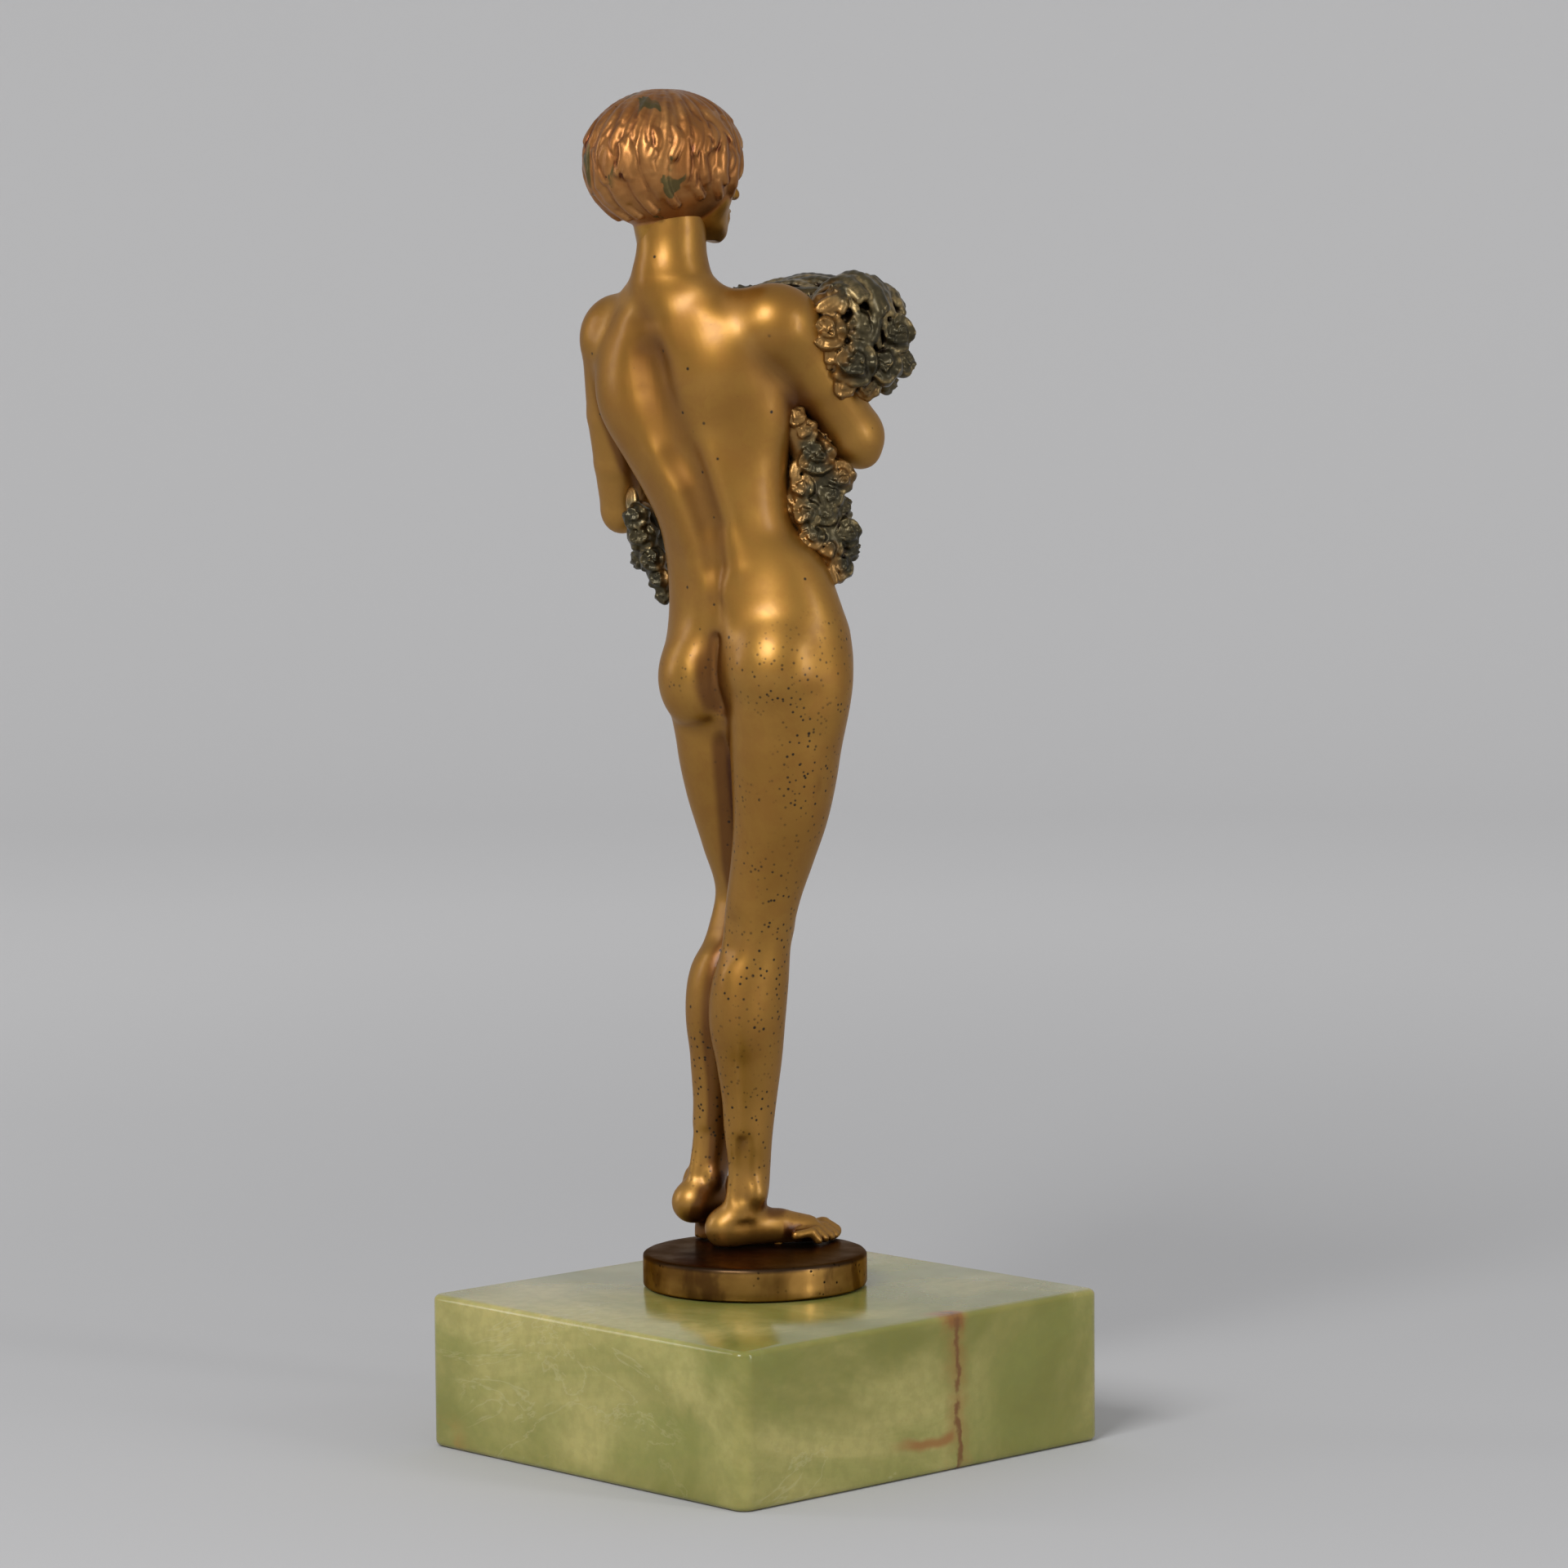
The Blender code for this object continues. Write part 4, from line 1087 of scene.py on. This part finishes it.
def skin_bronze():
    """Satin golden-brown bronze under old wax: redder patina in the fine hollows, painted shade in the
    broad hollows, painted highlight with rubbed wear on broad rounded forms, and a few dark pits.
    """
    s = Shader("skin_bronze")
    cloud = s.step(s.noise(26, 3, 0.55), 0.32, 0.70)
    mottle = s.step(s.noise(260, 5, 0.6, 0.4), 0.35, 0.68)
    gold = s.mix(cloud, *GOLD)
    gold = s.tint(gold, mottle, 0.35, (0.280, 0.118, 0.020))
    # partly rubbed wear, partly painted highlight: broad rounded forms are made lighter gold
    gold = s.tint(gold, s.step(s.attribute("crest"), 0.10, 0.42), 0.35, (0.500, 0.270, 0.062))
    # painted shade: broad hollows, such as the spine's furrow, the waist and the cleft, are made dark
    # red-brown
    gold = s.tint(gold, s.step(s.attribute("valley"), 0.03, 0.42), 0.85, (0.145, 0.050, 0.007))
    deep = s.step(s.attribute("hollow"), 0.10, 0.62)
    # fine pits below the waist, and stray ones all over
    low = s.step(s.axis("Z"), *WAIST)
    pits = s.speckle(900, 0.29, s.times(low, s.step(s.noise(42, 2, 0.5), 0.44, 0.58)))
    stray = s.speckle(330, 0.13, s.step(s.noise(120, 2, 0.5), 0.52, 0.58))
    dark = s.math("MAXIMUM", pits, stray)
    colour = s.mix(dark, s.mix(deep, gold, (0.085, 0.026, 0.006)), (0.025, 0.016, 0.008))
    rough = s.plus(s.step(mottle, 0.0, 1.0, 0.43, 0.50), s.times(deep, 0.12))
    height = s.minus(s.times(s.noise(1400, 3, 0.6), 0.3), dark)
    return s.done(colour, rough, (height, 0.25, 0.00008), metallic=0.92, coat_weight=0.40,
                  coat_roughness=0.28, specular_tint=(0.72, 0.55, 0.38, 1))


def hair_bronze():
    """The skin's bronze on the face. On the hair, golden locks, red-brown between, green-black remains."""
    s = Shader("hair_bronze")
    hollow = s.attribute("hollow")
    cloud = s.step(s.noise(120, 4, 0.6, 0.5), 0.35, 0.68)
    colour = s.mix(cloud, (0.300, 0.118, 0.030), (0.390, 0.180, 0.054))
    colour = s.mix(s.step(s.attribute("ridge"), 0.15, 0.60), colour, (0.480, 0.250, 0.090))
    colour = s.mix(s.step(hollow, 0.05, 0.45), colour, (0.100, 0.026, 0.008))
    patch = s.step(s.noise(230, 3, 0.5, 0.6, s.moved((1, 1, 0.45))), 0.60, 0.64)
    patch = s.times(patch, s.step(s.noise(70, 2), 0.47, 0.55))
    colour = s.tint(colour, patch, 0.9, (0.085, 0.074, 0.026))
    face = s.mix(s.step(hollow, 0.10, 0.70), s.mix(cloud, *GOLD), (0.130, 0.050, 0.010))
    colour = s.mix(s.step(s.attribute("hair"), 0.30, 0.75), face, colour)
    stray = s.speckle(420, 0.12, s.step(s.noise(110, 2), 0.56, 0.62))
    rough = s.step(s.noise(300, 4), 0.3, 0.7, 0.34, 0.50)
    return s.done(s.mix(stray, colour, (0.02, 0.014, 0.008)), rough, (s.noise(900, 4, 0.6), 0.22, 0.00012),
                  metallic=0.95, coat_weight=0.15, coat_roughness=0.25)


def rose_bronze():
    """Green-black patina, rubbed down to brass-coloured metal on the petals' edges."""
    s = Shader("rose_bronze")
    cloud = s.step(s.noise(110, 4, 0.6, 0.3), 0.35, 0.68)
    colour = s.mix(cloud, (0.034, 0.028, 0.013), (0.085, 0.065, 0.028))
    grain = s.step(s.noise(520, 4, 0.6), 0.30, 0.62)
    worn = s.times(s.step(s.attribute("ridge"), 0.10, 0.50), grain)
    colour = s.tint(colour, worn, 0.85, (0.34, 0.24, 0.100))
    near = s.plus(s.attribute("near_skin"), s.step(s.noise(130, 3, 0.6), 0.3, 0.7, -0.25, 0.25))
    colour = s.tint(colour, s.step(near, 0.45, 0.88), 0.85, (0.270, 0.138, 0.034))
    colour = s.mix(s.step(s.attribute("hollow"), 0.18, 0.75), colour, (0.030, 0.018, 0.008))
    rough = s.step(s.noise(400, 4), 0.3, 0.7, 0.30, 0.50)
    return s.done(colour, rough, (s.noise(850, 5, 0.65), 0.35, 0.00018),
                  metallic=0.85, coat_weight=0.2, coat_roughness=0.3)


def disc_bronze():
    """Dark brown and glossy on top, golden and spotted round the rim."""
    s = Shader("disc_bronze")
    top = s.step(s.axis("Z"), DISC_HIGH.z - 0.0011, DISC_HIGH.z - 0.0004)
    cloud = s.step(s.noise(70, 4, 0.55, 0.5), 0.35, 0.68)
    brown = s.mix(cloud, (0.034, 0.019, 0.010), (0.066, 0.038, 0.020))
    rim = s.mix(cloud, (0.17, 0.080, 0.020), (0.40, 0.220, 0.060))
    streak = s.step(s.noise(160, 4, 0.6, 0.2, s.moved((1, 1, 0.35))), 0.50, 0.64)
    rim = s.tint(rim, streak, 0.75, (0.10, 0.045, 0.015))
    pits = s.speckle(700, 0.22, s.step(s.noise(60, 2), 0.52, 0.60))
    colour = s.mix(pits, s.mix(top, rim, brown), (0.012, 0.009, 0.006))
    rough = s.step(s.noise(240, 4), 0.3, 0.7, 0.28, 0.42)
    return s.done(colour, rough, (s.minus(s.noise(500, 4), pits), 0.2, 0.0001),
                  metallic=1.0, specular_tint=(0.55, 0.43, 0.34, 1))


def onyx():
    """Pale olive-green onyx: cloudy bands, thin pale veins, and one rusty crack."""
    s = Shader("green_onyx")
    x, y, z = s.axis("X"), s.axis("Y"), s.axis("Z")
    low, high = PLINTH_LOW, PLINTH_HIGH
    cloud = s.step(s.noise(24, 5, 0.55, 0.8), 0.34, 0.66)
    band = s.step(s.noise(15, 6, 0.6, 1.4, s.moved((1, 1, 2.6), turn=(0.35, 0.25, 0))), 0.40, 0.62)
    colour = s.mix(cloud, (0.200, 0.195, 0.042), (0.440, 0.385, 0.135))
    colour = s.tint(colour, band, 0.60, (0.240, 0.250, 0.060))
    grain = s.step(s.noise(420, 5, 0.65), 0.40, 0.62)
    colour = s.tint(colour, grain, 0.22, (0.185, 0.185, 0.050))
    pale = s.noise(20, 5, 0.6, 1.6, s.moved((1.2, 1.2, 2.4), (0.3, 0.1, 0.6), (0.5, 0.3, 0.1)))
    vein = s.step(s.math("ABSOLUTE", s.plus(pale, -0.5)), 0.014, 0.001)
    vein = s.times(vein, s.step(s.noise(24, 2), 0.50, 0.60))
    colour = s.tint(colour, vein, 0.26, (0.520, 0.470, 0.250))
    # the crack: down the -X face, a little off its middle, and on to the top
    across = s.plus(y, -CRACK_Y)
    bend = s.plus(s.times(s.noise(60, 5, 0.65), 0.0100), -0.0050)
    line = s.math("ABSOLUTE", s.plus(across, bend))
    side = s.step(x, low.x + 0.006, low.x + 0.002)
    crack = s.times(s.step(line, 0.00100, 0.00020), side)
    crack = s.times(crack, s.step(s.noise(210, 3, 0.6), 0.36, 0.50, 0.25, 1.0))
    stain = s.times(s.step(line, 0.0042, 0.0002), side)
    stain = s.times(stain, s.step(s.noise(180, 3), 0.36, 0.58))
    upper = s.step(z, high.z - 0.0045, high.z - 0.001, 0.40, 1.0)
    colour = s.mix(s.times(stain, upper), colour, (0.330, 0.135, 0.034))
    # a rusty spot where it reaches the top edge
    spot = s.times(s.step(line, 0.0030, 0.0012), s.step(z, high.z - 0.0032, high.z - 0.0014))
    spot = s.times(spot, s.step(x, low.x + 0.0045, low.x + 0.0015))
    colour = s.tint(colour, spot, 0.85, (0.240, 0.095, 0.024))
    # its branch, which runs back from it near the foot of the block
    slope = s.plus(s.times(across, -0.10), s.plus(z, -0.0062))
    wander = s.plus(s.times(s.noise(70, 3), 0.006), -0.003)
    fork = s.math("ABSOLUTE", s.plus(slope, wander))
    reach = s.times(s.step(y, -0.0070, -0.0055), s.step(y, 0.010, 0.002))
    fork = s.times(s.step(fork, 0.0016, 0.0002), s.times(reach, side))
    colour = s.tint(colour, fork, 0.85, (0.300, 0.130, 0.036))
    colour = s.tint(colour, crack, 0.9, (0.170, 0.070, 0.020))
    # rust at the foot of the +X +Y corner
    corner = s.times(s.step(x, high.x - 0.012, high.x - 0.002), s.step(z, 0.0075, 0.001))
    corner = s.times(corner, s.step(y, high.y - 0.016, high.y - 0.004))
    rust = s.times(corner, s.step(s.noise(70, 4, 0.6, 0.8), 0.48, 0.62))
    colour = s.tint(colour, rust, 0.7, (0.400, 0.170, 0.040))
    rough = s.step(s.noise(60, 3), 0.3, 0.7, 0.12, 0.20)
    return s.done(colour, rough, (s.minus(s.noise(700, 3), crack), 0.06, 0.00006),
                  subsurface_weight=0.12, subsurface_scale=0.004, ior=1.42)


def steel():
    """Plain turned steel for the fixings under the plinth."""
    s = Shader("turned_steel")
    grain = s.noise(300, 3, 0.6, 0, s.moved((1, 1, 14)))
    colour = s.mix(s.step(grain, 0.35, 0.65), (0.34, 0.33, 0.31), (0.50, 0.49, 0.47))
    return s.done(colour, s.step(grain, 0.3, 0.7, 0.28, 0.42), (grain, 0.2, 0.00005), metallic=1.0)


def paper():
    """Pale paper, painted lighter away from the plinth, where the lamps light it less, so that the sweep
    looks evenly lit.
    """
    s = Shader("studio_paper")
    away = s.node("VectorMath", ((0, s.place),), operation="LENGTH").outputs["Value"]
    tone = s.step(s.noise(2.0, 2), 0.3, 0.7, -0.02, 0.02)
    # painted light: the paper is lighter towards the far sweep, which the lamps reach less
    rise = s.plus(s.step(away, 0.1, 1.0), tone)
    s.link(s.mix(rise, (0.490, 0.490, 0.494), (0.790, 0.788, 0.786)), "Base Color")
    s.set(roughness=0.9)
    return s.material


# ---- Stage, light and camera ----

def make_stage(material):
    """A round sweep of paper: flat underfoot, and curving up far behind on every side."""
    profile = [(0.0, 0.0)] + [(r, 0.0) for r in (0.2, 0.5, 0.9, 1.3)]
    profile += [(1.3 + x, 0.7 + z) for x, z in rounded_edge(0, 0, 0.7, -84, -8, 12)]
    bm = spun(profile, 96, 1e-6)
    bmesh.ops.translate(bm, verts=bm.verts, vec=(0, 0, PLINTH_LOW.z - 0.00005))
    return link_mesh("paper_sweep", bm, material)


def aim_light(name, place, size, power):
    """A rectangular white light, aimed at the middle of the statuette."""
    light = bpy.data.lights.new(name, "AREA")
    light.shape = "RECTANGLE"
    light.size, light.size_y = size
    light.energy = power
    obj = put(name, light)
    obj.location = place
    obj.rotation_euler = (Vector((0, 0, 0.12)) - place).to_track_quat("-Z", "Y").to_euler()


def make_camera():
    """Behind her and to her right, a little above, with a long lens."""
    right = Vector((-math.sin(CAMERA_TURN), -math.cos(CAMERA_TURN), 0))
    level = Vector((math.cos(CAMERA_TURN), -math.sin(CAMERA_TURN), 0))
    forward = level * math.cos(CAMERA_DOWN) - Vector((0, 0, 1)) * math.sin(CAMERA_DOWN)
    axes = Matrix((right, right.cross(forward), -forward)).transposed()
    camera = bpy.data.cameras.new("camera")
    camera.lens = CAMERA_LENS
    camera.sensor_width = 36
    camera.clip_start = 0.05
    obj = put("camera", camera)
    place = right * CAMERA_ASIDE - level * CAMERA_BACK + Vector((0, 0, CAMERA_HEIGHT))
    obj.matrix_world = Matrix.Translation(place) @ axes.to_4x4() @ Matrix.Rotation(CAMERA_ROLL, 4, "Z")
    bpy.context.scene.camera = obj
    return right, level


def light_stage():
    """A large softbox above on the left, a tall strip on the right, and a small light far left."""
    right, level = make_camera()
    up = Vector((0, 0, 1))
    aim_light("softbox", -level * 0.82 - right * 0.44 + up * 0.80, (0.46, 0.50), 8.5)
    aim_light("strip", -level * 0.60 + right * 0.94 + up * 0.30, (0.16, 0.90), 3.6)
    aim_light("side", level * 0.16 - right * 1.10 + up * 0.50, (0.20, 0.60), 1.4)
    world = bpy.data.worlds.new("studio")
    world.use_nodes = True
    background = world.node_tree.nodes["Background"]
    background.inputs["Color"].default_value = (0.96, 0.96, 0.98, 1)
    background.inputs["Strength"].default_value = 0.48
    bpy.context.scene.world = world
    bpy.context.scene.view_settings.view_transform = "Standard"


# ---- Everything in its place ----

figure, body = make_figure(skin_bronze())
pieces = (
    (figure, ("body_casting", "left_arm", "right_arm"), "bronze"),
    (make_head(hair_bronze()), ("head_casting",), "bronze"),
    (make_roses(rose_bronze(), body), ("rose_bouquet", "left_rose_trail", "right_rose_trail"),
     "bronze_roses"),
    (make_disc(disc_bronze()), ("base_disc",), "bronze_disc"),
    (make_plinth(onyx()), ("onyx_plinth",), "onyx"),
)
for piece, nodes, slot in pieces:
    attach(piece, "root")
    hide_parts(*nodes)

fixings = (
    (steel(), ("mounting_stud", "washer", "hex_nut")),
    (skin_bronze(), ("neck_dowel", "left_arm_dowel", "right_arm_dowel", "standing_foot_dowel",
                     "lifted_foot_dowel")),
)
for material, names in fixings:
    for name in names:
        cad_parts[name].data.materials.clear()
        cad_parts[name].data.materials.append(material)

make_stage(paper())
light_stage()
